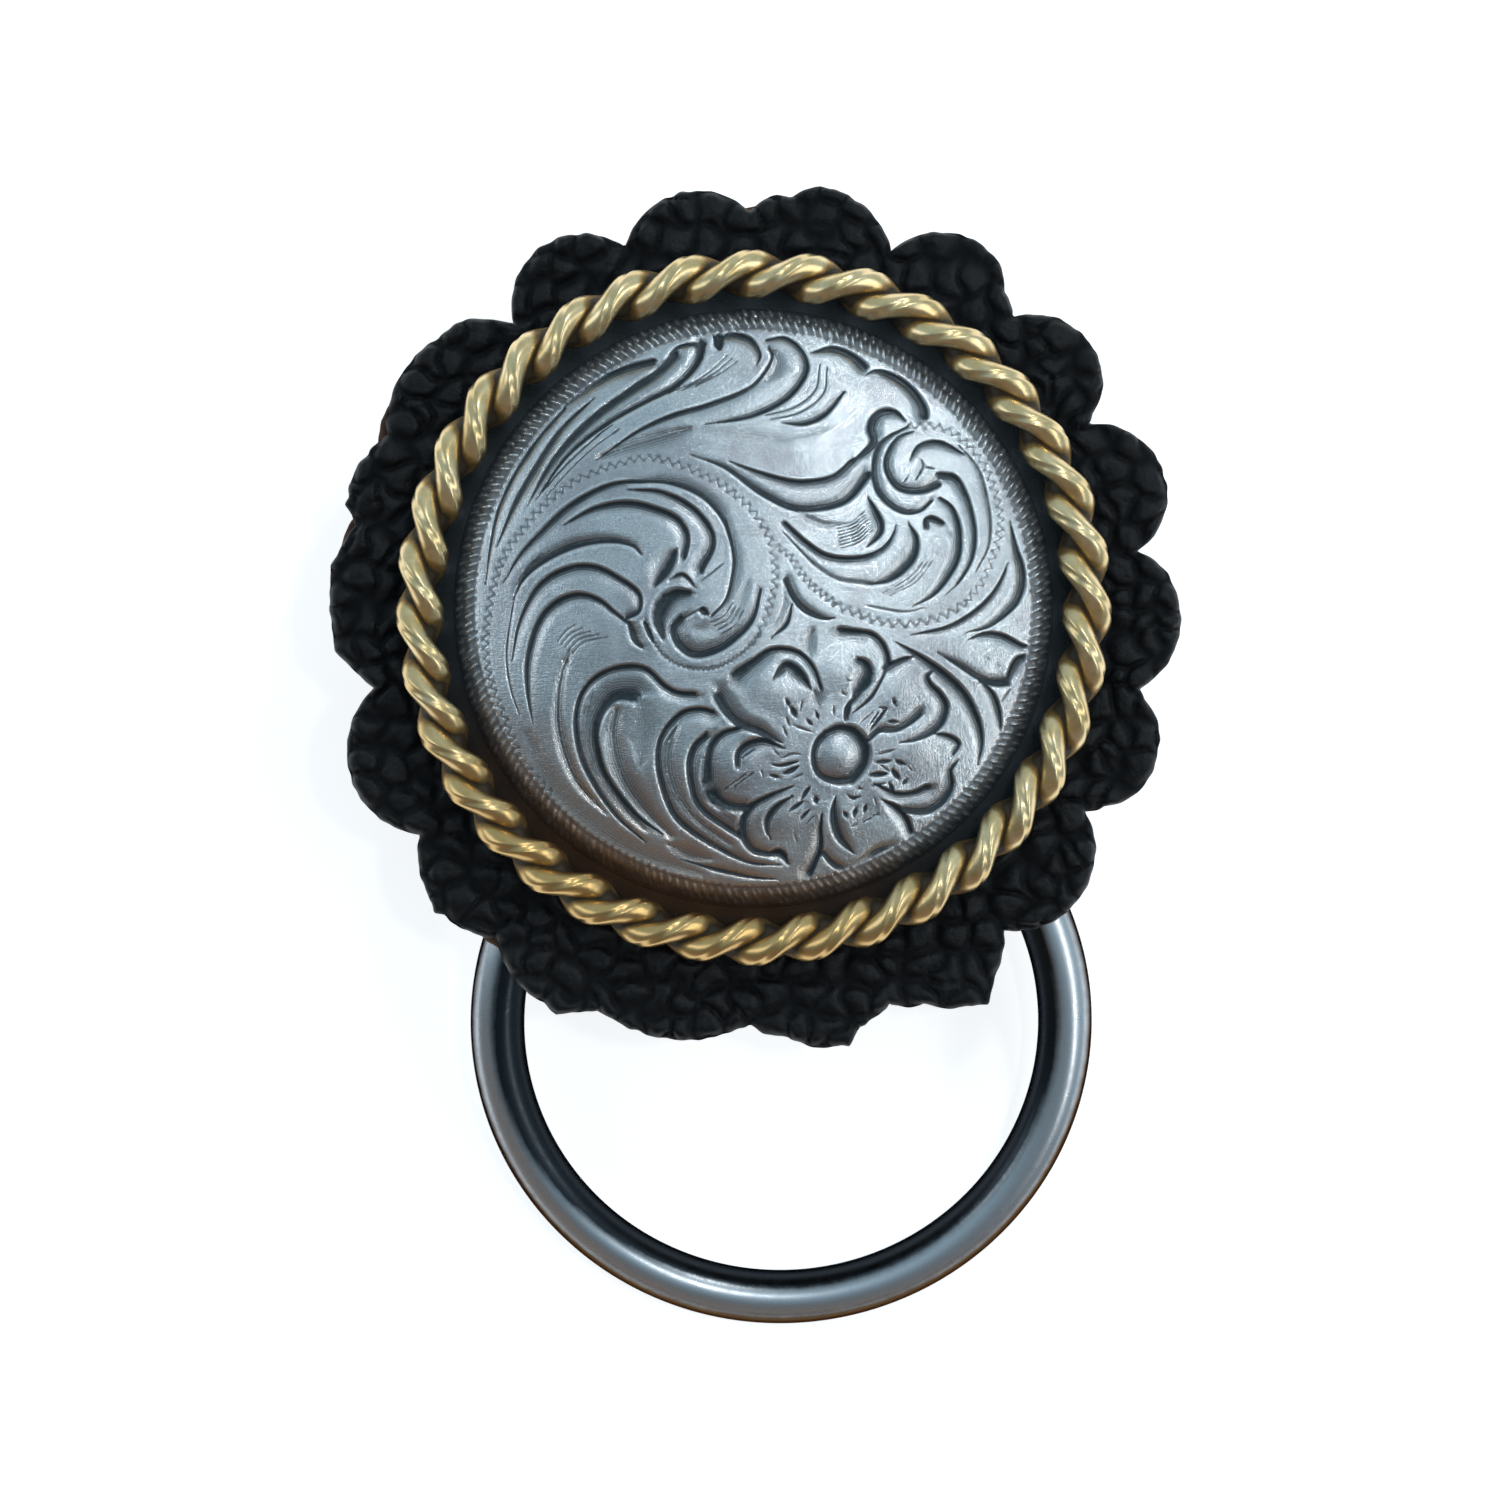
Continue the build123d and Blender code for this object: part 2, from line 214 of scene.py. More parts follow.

# The engraving is charted in hundredths of the dome's radius, right and up from the dome's middle.
# A cut is wide at its start, middle and end as given; its soft side is shaded away from the line, the left
# side as the line runs where soft is above zero and the right side where it is below. Where soft is zero,
# a curved cut is shaded a little on its inner side.
CUTS = [
    # start, middle, end, soft, points
    # fronds at the upper left
    (0.5, 1.3, 1.0, 0, ((-94.9, 9), (-93.3, 21), (-90.5, 34), (-85.2, 46), (-77, 58.6), (-66.8, 70.7))),
    (0.8, 2.2, 2.4, -0.4, ((-67.2, 71.2), (-60, 77), (-52.4, 81.5), (-43.4, 85.1), (-35.3, 87.1))),
    (0.5, 2.2, 0.5, 0, ((-90.8, 22), (-84.3, 37), (-78.9, 46.5), (-68, 63), (-56.9, 73.8))),
    (0.5, 2.7, 3.2, -0.3, ((-79.8, 36.6), (-70.8, 51.9), (-57.8, 65.8), (-42, 77.4), (-34, 82.8),
        (-27.5, 89.3))),
    (0.5, 1.7, 3.2, 0, ((-76.6, 38.4), (-65.9, 53.7), (-51.5, 65.3), (-38, 73), (-27, 79), (-20, 87),
        (-18.5, 93.5))),
    (0.8, 1.4, 0.8, 0, ((-29.5, 89.8), (-27, 92), (-22, 93.3), (-17, 93.2))),
    (0.5, 2.5, 1.5, 0, ((-22, 93), (-18.5, 92), (-19, 88))),
    (0.4, 1.6, 0.8, -0.25, ((-55, 52.3), (-41.2, 61.7), (-29, 67.3), (-15.6, 71.3), (0, 78.5), (6.8, 89),
        (5.5, 92))),
    (0.4, 2.0, 0.8, 0, ((-88, 9.5), (-82.9, 17.9), (-75.3, 26), (-64, 36), (-50, 43), (-38, 44.4))),
    (0.8, 1.6, 0.5, 0.9, ((-44, 44), (-30, 43.8), (-18, 39), (-10.5, 30.5), (-7.5, 20))),
    (0.5, 2.4, 2.4, 0, ((-67, 29), (-56, 34.5), (-44, 36.2), (-33.5, 33.7), (-26.8, 30.4), (-23.4, 24.3),
        (-24.5, 17.6))),
    (0.5, 2.0, 2.8, 0, ((-44, 41.3), (-32, 40), (-20, 33), (-14.2, 23), (-18.5, 13))),
    (0.5, 2.2, 1.0, 0.5, ((-84.7, 3), (-81.6, 9.8), (-74.8, 16), (-62.7, 21.7), (-50, 23.3), (-42, 21.3),
        (-39.8, 19))),
    # top
    (0.4, 2.1, 0.8, 0.4, ((-16.9, 64.4), (0, 67.8), (12.7, 74.9), (18.8, 84.8), (16.7, 91.1),
        (10.9, 95.4), (4.6, 94.7))),
    (2.5, 3.0, 1.5, 0, ((-12.5, 96), (-12, 91.5))),
    (1.5, 2.0, 0.4, -0.5, ((-13, 94), (-8.8, 96.5), (-1.2, 94.7), (2.2, 89.7), (1.3, 85.7))),
    (0.4, 2.0, 3.2, -0.25, ((20.3, 90.2), (28, 91.7), (34.7, 89.2), (38.8, 85.5))),
    (0.5, 1.8, 0.8, 0, ((10, 65), (18, 64.8), (25, 68), (32, 76))),
    (0.5, 1.7, 1.7, -0.5, ((-8, 51), (2, 47), (14, 43.8), (20, 43.8), (28, 45.7), (35, 51.5))),
    (0.4, 1.7, 3.0, 0.4, ((-22, 53.5), (-10, 49), (2.8, 40), (13.6, 34.8), (22.6, 34.6), (32.5, 37.6),
        (40.1, 46.6))),
    # scroll at the upper right
    (0.4, 2.2, 3.4, -0.25, ((39.9, 82.3), (42.8, 83.8), (50, 81.6), (56.3, 76.7), (60.1, 70.4),
        (60.3, 68.1))),
    (0.6, 3.0, 0.8, 0.4, ((53.8, 65.9), (50, 69), (44.6, 68.6), (41.5, 63.7), (42.4, 58.3), (35.2, 51.1))),
    (1.2, 1.8, 0.8, 0, ((62.8, 37.6), (58.5, 34), (52.2, 33.8), (44.6, 39.9), (42.5, 48.5), (45.1, 57.8),
        (54.9, 64.1))),
    (3.0, 1.8, 0.6, 0, ((64.8, 43.5), (59.4, 41.2), (51.3, 42.1), (46.8, 50.2), (50.9, 59.6),
        (56.7, 62.3))),
    (0.6, 1.6, 0.6, -0.6, ((55.4, 52), (58.5, 56.9), (65.2, 58.3), (74.7, 54.2))),
    (0.4, 1.0, 0.4, 0, ((59.5, 52), (60, 50), (57.5, 45))),
    (2.5, 1.6, 0.4, 0, ((65.7, 46.6), (71.1, 45.7), (75.1, 39.4), (77.6, 31), (78.2, 24.7), (77, 17),
        (72.2, 8.5), (68.2, 4.5))),
    (1.0, 2.3, 0.4, 0, ((65.7, 38.5), (69.7, 35.4), (72.4, 28.3), (72.2, 18.4), (69.3, 12.1),
        (63.4, 4.5), (56.3, 0.2))),
    (0.4, 1.0, 0.4, 0, ((72.9, 57.4), (79.6, 49.3), (83.2, 35.8), (83.9, 27.8), (83, 21.1), (78.7, 12.6))),
    (0.6, 2.4, 0.6, -0.4, ((40.6, 38.1), (42.8, 33.7), (45, 28.3), (44.2, 25.6), (40.1, 21.1))),
    (0.6, 1.9, 1.4, 0.35, ((50, 28.3), (49.5, 26), (46.4, 21.1), (40.6, 17.7), (32, 16.6), (24.8, 18),
        (18.1, 22.5), (10.9, 29.2))),
    (0.5, 3.0, 0.6, 0, ((54.9, 29.2), (57.4, 23.8), (56.5, 18.4), (52.7, 13.5), (47.3, 9.6), (41.5, 7.9))),
    (1.0, 0.8, 0.3, 0, ((41.5, 7.9), (30.2, 9.5), (23.5, 13.1), (16.7, 19.4), (10.5, 26.1))),
    (1.8, 2.0, 1.4, 0, ((61, 28.3), (61, 30.5), (62.1, 31.2), (64.3, 30.7), (67, 29.4))),
    # right side
    (0.6, 1.7, 0.4, 0.5, ((90.1, 15.7), (88.4, 10.8), (85, 4.9), (80.5, 0), (75.1, -4), (68.4, -7.4),
        (55.4, -9.9))),
    (0.5, 2.2, 0.4, 0, ((91, 30.5), (93.1, 20.6), (95, 14.4), (95.3, 8.5), (93.1, 2.2), (88.1, -3.1),
        (82.3, -7), (75.3, -9))),
    (0.4, 2.0, 1.2, -0.5, ((76, -11.3), (81.8, -9.6), (88.1, -10.3), (95.3, -13.7), (98, -13.9))),
    (0.4, 1.6, 1.6, 0, ((65.2, -16.2), (73.8, -21.1), (79.6, -24.7), (85, -26), (90.4, -25.4))),
    (1.5, 2.6, 1.5, 0, ((80.5, -25.8), (85, -26.6), (90.5, -27))),
    (1.6, 3.0, 2.2, 0, ((90.4, -25.4), (92, -22), (94.4, -18.4), (98, -17.5))),
    (1.0, 1.8, 0.6, 0, ((81, -26.5), (84.6, -30.8), (86.9, -37.1), (87.8, -43.8))),
    (0.6, 0.8, 0.5, 0, ((90.8, -29.2), (88.1, -33.2))),
    (0.4, 3.0, 0.5, 0, ((50.4, -12.6), (59, -17.9), (67, -23.8), (73.4, -29.9), (77.4, -36.2),
        (79.9, -42.5), (80.8, -48.8), (79.7, -55.1))),
    # leaves at the left
    (0.5, 2.2, 1.4, -0.5, ((-85.4, -18.5), (-82.5, -5), (-75.3, 7.6), (-65, 13.4), (-56.4, 13.8),
        (-48.4, 10.3), (-40.3, 4), (-40.3, -1.4), (-44.8, -4.1))),
    (0.4, 2.7, 1.0, -0.3, ((-78.2, -41), (-79.8, -30), (-79.8, -19.4), (-75.3, -5), (-69.4, 1.3),
        (-61.8, 4), (-54.6, 2.2), (-49.3, -1.9), (-44.8, -5.4))),
    (1.0, 2.2, 1.0, 0, ((-43.9, -5.4), (-41.2, -12.2), (-38.9, -14.4))),
    (0.8, 1.5, 0.8, 0, ((-38.5, -5.4), (-35.3, -12.2))),
    (2.2, 2.0, 0.7, 0.5, ((-20.5, -31), (-26.8, -30.5), (-31.3, -28.2), (-38, -22.2), (-45.7, -21.4),
        (-54.2, -24.3), (-60, -30), (-62.6, -38.5), (-62, -48.3), (-59.1, -57.3), (-48.8, -73.5),
        (-38.5, -82.9))),
    (4.4, 2.4, 0.8, -0.9, ((-42.1, -31), (-48.3, -31.3), (-53.3, -36.2), (-55.9, -44.3), (-55, -52),
        (-52.4, -59.6), (-41.6, -73.5), (-32.2, -80.2))),
    (2.0, 1.9, 0.5, 0.8, ((-14.5, -37.2), (-18.8, -36.3), (-24.6, -37.4), (-29.9, -42.1), (-33.1, -47.9),
        (-33.7, -54.2), (-32.2, -63.1), (-28.2, -73.1), (-22.4, -78.9), (-12.1, -85.4), (-1.3, -90.4),
        (9.5, -91.3))),
    (2.4, 2.2, 1.6, 0.8, ((-16.5, -45.5), (-20.6, -49.3), (-22.5, -55.1), (-22, -61.9), (-20.6, -67.7),
        (-17, -72.6), (-4.4, -81.2))),
    (1.6, 2.4, 3.5, 0.5, ((-4.9, -43), (-10.7, -44.8), (-14.7, -49.3), (-15.9, -54.7), (-16.1, -61.2))),
    (0.5, 1.4, 0.4, 0, ((-25.5, -89.2), (-14.3, -92.6), (-0.8, -95.5), (8.1, -96.4))),
    # middle scroll
    (0.6, 4.2, 1.6, 0, ((-26.8, 20.3), (-30.2, 14), (-34.5, 7.8))),
    (0.4, 1.3, 0.6, 1.0, ((-9.6, 30.7), (-7.8, 23), (-6.7, 16.5), (-7.5, 9.4), (-9.6, 2.3), (-14.5, -3.4))),
    (0.5, 1.3, 0.5, 0, ((-29.5, 9.5), (-25, 11.1), (-20.3, 6.8))),
    (2.2, 5.2, 1.6, 0, ((-22.4, 4.6), (-27.5, 4.0), (-31.5, 0.5), (-33.0, -5.5), (-31.5, -11.0))),
    (1.8, 2.2, 1.0, 0, ((-18, -1.4), (-16, -2.6))),
    (2.8, 2.4, 1.0, 0.6, ((-25.4, -4.4), (-27.9, -7.6), (-26.3, -13), (-21, -16.8), (-13.3, -15.4),
        (-5.7, -10.3), (-0.3, -4.4), (2.6, 5.9))),
    (1.8, 1.8, 0.5, 0, ((11.4, 9.5), (13.6, 4.1), (17.6, -0.8), (24.8, -4.2), (28.4, -4.2))),
    (0.5, 1.5, 0.5, 0, ((13.6, 1), (11.8, -5.8), (6.9, -10.5))),
    # flower: its petals from the upper left, clockwise, then its button
    (4.0, 1.9, 1.2, -0.5, ((-6, -24.2), (0, -19.7), (6.9, -15.4), (15.8, -16.5), (20.8, -21.5),
        (23.9, -29.1))),
    (0.8, 4.0, 0.8, 0, ((7.3, -25), (11.8, -21), (17.2, -25.1), (19.9, -28.7))),
    (3.0, 2.0, 2.2, -0.4, ((30.7, -8.7), (36.1, -9.2), (41.5, -9.9), (45.1, -13), (47.1, -17.9),
        (47.3, -20.2))),
    (2.0, 4.3, 0.8, 0, ((36.8, -18.8), (39, -20), (40.1, -23), (38.8, -26.5), (35.2, -31.4))),
    (1.2, 1.5, 1.6, 0, ((41.1, -25.9), (37.1, -30.8), (33, -35.8), (32.7, -39.5))),
    (0.5, 1.8, 2.4, 0, ((56.7, -17.3), (51.3, -19.3), (46.8, -21.5))),
    (0.8, 1.3, 0.6, 0, ((46.8, -22), (44.6, -26.5), (41.5, -31.7), (34.8, -37.6))),
    (1.2, 2.6, 0.5, -0.4, ((62.6, -22.9), (61.2, -24.8), (62.6, -27.8), (65.3, -30.4), (67.8, -35.3),
        (66.2, -40.7), (62.2, -44.3), (56.8, -46.8), (51.9, -47.9))),
    (2.2, 1.9, 1.4, 0, ((59, -37.3), (55, -40.7), (50.1, -43.2), (44.2, -43.6), (40.9, -46.5))),
    (0.5, 1.8, 1.0, -0.5, ((64, -44.7), (69.4, -45.9), (72.5, -48.3), (70.7, -51.9))),
    (0.6, 2.8, 1.2, -0.5, ((72.3, -54.4), (69.8, -57.8), (70, -63.1), (66.7, -68.5), (61.3, -72.1),
        (55.9, -72.1), (50.5, -71))),
    (2.4, 1.8, 0.6, 0.6, ((61.7, -63.8), (56.8, -65.8), (50.5, -66.1), (42.9, -62.5))),
    (0.5, 2.6, 2.0, 0, ((45.6, -68.1), (50.5, -71.2), (54.1, -75.3), (55.9, -80.2))),
    (1.6, 2.1, 2.4, 0, ((24.7, -87), (28.5, -91), (33.5, -93.2), (38.8, -91), (44.2, -86.5),
        (49.6, -85.4))),
    (0.6, 2.9, 0.6, 0, ((28.8, -67.7), (28.3, -73.1), (30.4, -81.2), (35.5, -87))),
    (0.6, 2.0, 3.0, 0, ((24.3, -73.1), (23.6, -78.5), (23.7, -84.3), (21.6, -90.6), (19.8, -94.2))),
    (0.5, 2.6, 1.0, 0.4, ((14, -63.2), (5, -67.2), (-0.4, -70.4), (-3.5, -75.3), (-3.5, -80.7),
        (-0.4, -85.6), (4.6, -87.2), (9.5, -87.4), (12.2, -90.6))),
    (1.5, 3.0, 1.0, 0, ((6.5, -87), (9.5, -87), (11.8, -89.5))),
    (0.5, 2.4, 0.5, 0, ((13.1, -67.2), (8.1, -70.8), (5, -75.3), (5, -79.8), (5.9, -81.6))),
    (5.0, 3.0, 1.6, 0, ((-14.2, -66), (-12.1, -68.4), (-6.2, -70.6), (-0.8, -70.2))),
    (3.5, 2.8, 0.5, 0.6, ((-12.3, -31.8), (-10, -36), (-5.3, -40.8), (2.3, -43.9), (9.9, -47.9))),
    (1.8, 2.8, 0.5, 0, ((-5.5, -56), (-5.3, -52), (-2.2, -48.8), (3.2, -47.5), (10.4, -49.7))),
    (2.2, 4.0, 3.4, 0, ((25.5, -44.6), (30.1, -43), (34.6, -43.9), (37.7, -46.8), (39, -50.4),
        (38.9, -54), (37, -57.8), (34.5, -60.8))),
    (3.2, 1.8, 2.4, 0, ((34.5, -60.8), (30.3, -61.5), (26.3, -60.8), (22.8, -58.6), (21.4, -54.8),
        (21.5, -51), (22.9, -47.5), (25.5, -44.6))),
]

# Thin lines, by the width in their middle
HAIRLINES = [
    # width, points
    (0.8, ((-74.5, 41), (-66, 50.5), (-58, 58), (-50, 64.5))),
    (0.6, ((-73, 39.5), (-64, 49.5), (-56, 56.8), (-48, 62.5))),
    (1.0, ((-84.7, 3), (-87.4, -17), (-85.6, -30), (-82.9, -38))),
    (0.7, ((-14.5, 98), (-13.5, 93))),
    (0.7, ((4, 67.5), (15, 70.8), (22, 77), (23.5, 86))),
    (0.7, ((6, 66), (17, 69), (25, 76), (26, 84))),
    (0.8, ((61, 49.5), (63.5, 49))),
    (0.8, ((53, 44), (54.5, 46))),
    (0.8, ((40.6, 0.2), (47.3, -1.1), (54, -1.8), (59.9, -0.4))),
    (0.8, ((-27.2, -42.5), (-30.4, -47.4))),
    (0.7, ((-24.5, -4.2), (-17.4, -0.2))),
    (0.8, ((-15, -3.5), (-9.3, 1.9))),
    (0.8, ((-18.3, 9), (-10.6, 14.9))),
    (0.6, ((-4, -53.3), (0.5, -50.2))),
    (0.9, ((7.2, -50.2), (8.6, -52))),
    (0.8, ((10.4, -53.3), (13.1, -52), (16.7, -52))),
    (1.1, ((6.8, -55.6), (9, -56), (15.8, -54.5))),
    (1.6, ((10.8, -58.7), (13.1, -57.8), (15.8, -56.3))),
    (1.3, ((6.3, -59.4), (9, -60.1))),
    (0.7, ((14, -60.5), (16.7, -59.2))),
    (0.5, ((-9.8, -64.1), (-3.1, -59.2))),
    (0.5, ((-6.2, -63.2), (-0.4, -58.7))),
    (1.4, ((19.8, -63.7), (17.1, -67.7))),
    (1.2, ((13.1, -71.7), (17.6, -68.6))),
    (1.1, ((16.7, -74.9), (19.8, -71.7))),
    (0.8, ((19.4, -75.8), (20.7, -74.4))),
    (2.0, ((22, -67.3), (22.3, -69))),
    (1.3, ((11.7, -33.1), (12.6, -34.9))),
    (1.0, ((17.1, -34), (16.7, -35.8))),
    (1.8, ((13.5, -35.8), (14.9, -38.5))),
    (1.0, ((11.7, -39.4), (12.6, -41.7))),
    (0.9, ((10.8, -43), (11.7, -45.3))),
    (0.9, ((14.9, -42.1), (19.8, -43.9))),
    (1.1, ((18.9, -39.9), (20.7, -41.7))),
    (1.1, ((22.1, -37.2), (22.9, -39.4))),
    (0.9, ((28.2, -35.4), (28.4, -38.1))),
    (1.4, ((34.2, -34.5), (32.6, -39))),
    (1.0, ((44.2, -51.9), (49.2, -50.6))),
    (1.2, ((43.3, -54.8), (48.3, -54.4))),
    (1.6, ((50.5, -54.4), (53.2, -55.5))),
    (1.6, ((41.5, -59.3), (46.9, -58.9))),
    (1.7, ((49.2, -57.8), (51.4, -60.4))),
    (0.8, ((45.1, -56), (47.8, -57.8))),
    (1.4, ((53.2, -62.2), (54.1, -61.1))),
    (0.8, ((42, -63.1), (46.5, -62.3))),
    (1.3, ((48.3, -62.7), (49.2, -64.5))),
    (0.8, ((42.9, -68.1), (43.3, -69.4))),
    (0.8, ((37.9, -40.7), (41.5, -37.6))),
    (1.1, ((41.5, -42.9), (44.7, -38.9), (46.9, -35.8))),
    (0.8, ((44.2, -35.5), (46.9, -35.8))),
    (0.7, ((41.1, -41.2), (43.8, -37.6))),
    (1.2, ((47.4, -40.5), (51, -40.5))),
    (1.6, ((32, -72.6), (33, -74))),
    (1.5, ((36.2, -71.4), (35.7, -73.5))),
    (1.3, ((39.7, -70.1), (39.3, -72.6))),
    (0.6, ((42.4, -73.7), (43.8, -73.2))),
    (0.5, ((39.3, -75.7), (41.1, -74.8))),
    (0.8, ((34.8, -77.5), (35.8, -77.1))),
    (1.1, ((33.5, -66.5), (35, -67.5), (37.5, -67))),
    (1.1, ((37, -64), (38, -64.1))),
    (1.6, ((31.2, -30.2), (32, -30.8))),
    (1.0, ((33.5, -26), (34.1, -26))),
    (1.5, ((49.5, -33.2), (50, -34.2))),
    (0.9, ((55.2, -57), (55.6, -57.6))),
    (0.8, ((3.1, -58.8), (3.3, -59.6))),
]

# Broad soft hollows, painted darker in them as shade: how wide, how dark, and where they run
SHADES = [
    # width, strength, points
    (3.0, 0.7, ((4, 80), (8, 84), (8.5, 88), (6.5, 91))),
    (4.0, 0.9, ((-54, 53), (-46, 56), (-38, 58.3), (-22, 62.8))),
    (3.0, 0.35, ((-22, 62.8), (-10, 62), (10, 60), (26, 63))),
    (1.5, 0.6, ((13.6, 34.2), (24.8, 28.8), (32, 29.5))),
    (1.5, 0.5, ((67.9, 27.8), (69.7, 24.7))),
    (1.5, 0.4, ((81, -17.3), (83, -18.5))),
    (1.8, 0.4, ((85, -20), (87.5, -21))),
    (1.2, 0.25, ((-37.6, -38.5), (-41, -44), (-43.4, -46.8), (-41.4, -48.5), (-42.3, -51), (-41.2, -54.2))),
    (3.0, 0.6, ((33, -11), (37, -11.5), (41, -11.5))),
    (3.0, 0.8, ((21.5, -29.5), (23, -35))),
    (4.0, 0.6, ((-30, -84), (-21, -88), (-15, -89))),
    (1.6, 0.6, ((14.7, -80.4), (15.1, -82))),
    (1.2, 0.6, ((10.7, 8.6), (10.9, 1), (7.3, -7.1))),
    (3.0, 0.7, ((21, -8), (19.5, -12), (19.9, -17.4))),
    # hollows between the leaves at the lower left
    (2.6, 1.0, ((-65, -16.7), (-68, -25.6), (-69, -35), (-68.8, -42.1), (-66.3, -52.8), (-61.8, -62.7),
        (-52, -73))),
    (5.5, 0.8, ((-48, -36), (-49.5, -46), (-46, -60), (-38, -72), (-29, -81))),
    (3.2, 0.7, ((-56.5, -30), (-59, -42), (-56, -56), (-47, -70), (-38, -79))),
    (4.5, 0.7, ((-27, -42), (-30, -52), (-28, -64), (-20, -75), (-8, -84))),
    (5.0, 0.35, ((-20, -8), (-14, -7), (-7, -1), (-2, 8))),
    (3.0, 0.6, ((-16, -50), (-18.5, -58), (-15, -68), (-6, -77))),
    (7.0, 0.35, ((-80, -45), (-72, -62), (-58, -76), (-40, -87), (-18, -94))),
    (6.0, 0.35, ((-40, -31), (-38, -44), (-40, -56))),
]

# Sets of like lines, from the first line to the last
HATCHES = [
    # count, width, first line, last line
    (3, 0.8, ((-30, 75.5), (-18, 81.5), (-9.5, 89)), ((-22, 77.5), (-12, 82.5), (-6, 87))),
    (2, 0.7, ((-84.3, 7.6), (-80, 14), (-75, 19)), ((-82.5, 9), (-78, 15.5), (-72, 20))),
    (8, 0.6, ((30, 28.8), (34, 29.6), (38.5, 33)), ((31, 20.6), (37, 22.5), (42, 27))),
    (5, 0.7, ((-69, -12), (-66, -8.5), (-63, -6.5)), ((-63.5, -16), (-60, -12.7), (-52, -10.8))),
    (4, 0.4, ((-15, -5.5), (-10.5, -3.5), (-7.5, 1)), ((-11, -9.5), (-6.5, -6.5), (-3.5, -1.5))),
    (3, 0.6, ((59.4, 15.3), (54.9, 10.3), (46, 4.9)), ((63, 16), (57, 8.5), (48, 4))),
]

# Lines cut with a rocked tool, which leaves small zigzag teeth
WRIGGLES = [
    # pitch, amplitude, width, points
    (3.6, 1.1, 0.7, ((2.4, -8.5), (5.5, -0.4), (7.6, 10.4), (6.4, 21.2), (1.9, 30.6), (-6, 39),
        (-19, 47), (-36, 52.5), (-48, 50.5), (-62, 45), (-74, 36), (-82, 27), (-89, 16.5), (-93.2, 1.3),
        (-94.8, -11), (-93.9, -22.5), (-90, -34.6), (-85.1, -47), (-82, -54.6), (-74.8, -62.7),
        (-71.2, -66.3))),
    (3.6, 1.1, 0.7, ((54.5, 64.1), (66.6, 63.7), (75.1, 58.7), (81.8, 50.6), (86.3, 39.4), (87.7, 31.8),
        (86.3, 22.9), (80.9, 9), (75.1, 1.8))),
    (4.0, 1.3, 0.9, ((75.1, 1.8), (67.9, -2.7), (56.3, -6), (44.6, -5.4), (37, -2.7), (30.7, -0.4),
        (28, 1.8))),
    (1.8, 0.5, 0.8, ((-38, -4.4), (-35.3, -12), (-30.8, -17.9), (-23.2, -21.5), (-14.2, -21.7),
        (-6.6, -18.3), (0, -12.5), (2.4, -8.9))),
    (2.8, 1.1, 0.7, ((8, 21), (13, 17.5), (17.5, 10.5), (23, 5), (29, 1))),
]

# Petals and leaves stand up a little, as the metal between deep cuts does
BULGES = [
    # across, up, radius, height in millimetres
    (8, -30, 11, 0.10),
    (30, -22, 11, 0.12),
    (51, -30, 11, 0.10),
    (57, -50, 11, 0.10),
    (47, -66, 9, 0.08),
    (29, -76, 10, 0.10),
    (9, -74, 10, 0.10),
    (-4, -57, 9, 0.08),
    (0, -42, 9, 0.09),
    (30, -52.4, 9, 0.14),
    (-60, 8, 12, 0.06),
    (-57, -14, 14, 0.08),
    (-45, -45, 12, -0.06),
    (-22, 35, 14, 0.06),
    (-30, 70, 14, 0.05),
    (18, 55, 14, 0.06),
    (60, 48, 12, 0.06),
    (60, 20, 12, 0.05),
    (-15, -2, 12, 0.07),
]

# How wide the lines of the other tables are at their start, middle and end, as shares of the width given,
# and how strong the hatches and wriggles are
HAIR_TAPER = np.array((0.6, 1.0, 0.5))
SHADE_TAPER = np.array((0.5, 1.6, 0.5))
HATCH_TAPER = np.array((0.4, 1.0, 0.4))
HATCH_STRENGTH = 0.8
WRIGGLE_STRENGTH = 0.7

# The plain face is a little uneven, in waves of about one length
UNEVEN = 0.014
UNEVEN_LENGTH = 4.5

# Border: two rows of small slanted teeth, struck all round the steep rim into a sunk ground
BORDER_TEETH = 212
BORDER_INNER_R = 14.74
BORDER_OUTER_R = 15.98
BORDER_SLANT = 1.2
BORDER_RISE = 0.08
BORDER_LEDGE = 0.42
BORDER_SUNK = 0.05
BORDER_POINTS = 2120
BORDER_RINGS = 15
BORDER_ROWS = [
    # low, high, shift, strength
    (0.06, 0.60, 0.0, 1.0),
    (0.52, 0.92, 0.5, 0.75),
]

# The teeth are uneven in where they end, how wide and tall they are and how far aside they stand. They are
# worn down away from their best side, and the border's inner edge has bites.
TOOTH_ENDS = 0.05
TOOTH_WIDE = 0.27
TOOTH_WIDER = 0.09
TOOTH_TALL = 0.5
TOOTH_ASIDE = 0.08
TOOTH_HEIGHT = 0.66
TOOTH_WEAR = 0.34
BEST_SIDE = math.radians(80)
BITES = 0.07

# How wide the cuts are against the table, how far a soft side reaches, how deep a cut goes for each
# millimetre of half width and at most, and the distance between the graver's lines in the shading
CUT_SPREAD = 1.45
SOFT_REACH = 2.4
INNER_SOFT = 0.4
NARROWEST = 0.02
CUT_SLOPE = 0.85
DEEPEST = 0.2
GRAVER_PITCH = 0.13

# How dark a cut's walls get towards its line, on a hard side and on a soft one, and how much painted shade a
# broad hollow's middle gets
HARD_TONE = 3.0
SOFT_TONE = 1.3
HOLLOW_TONE = 0.75

# The lip that the graver raises beside a cut, and the half width of a cut whose lip is whole
LIP_RISE = 0.019
LIP_AWAY = 0.055
LIP_WIDE = 0.045
LIP_WHOLE = 0.12

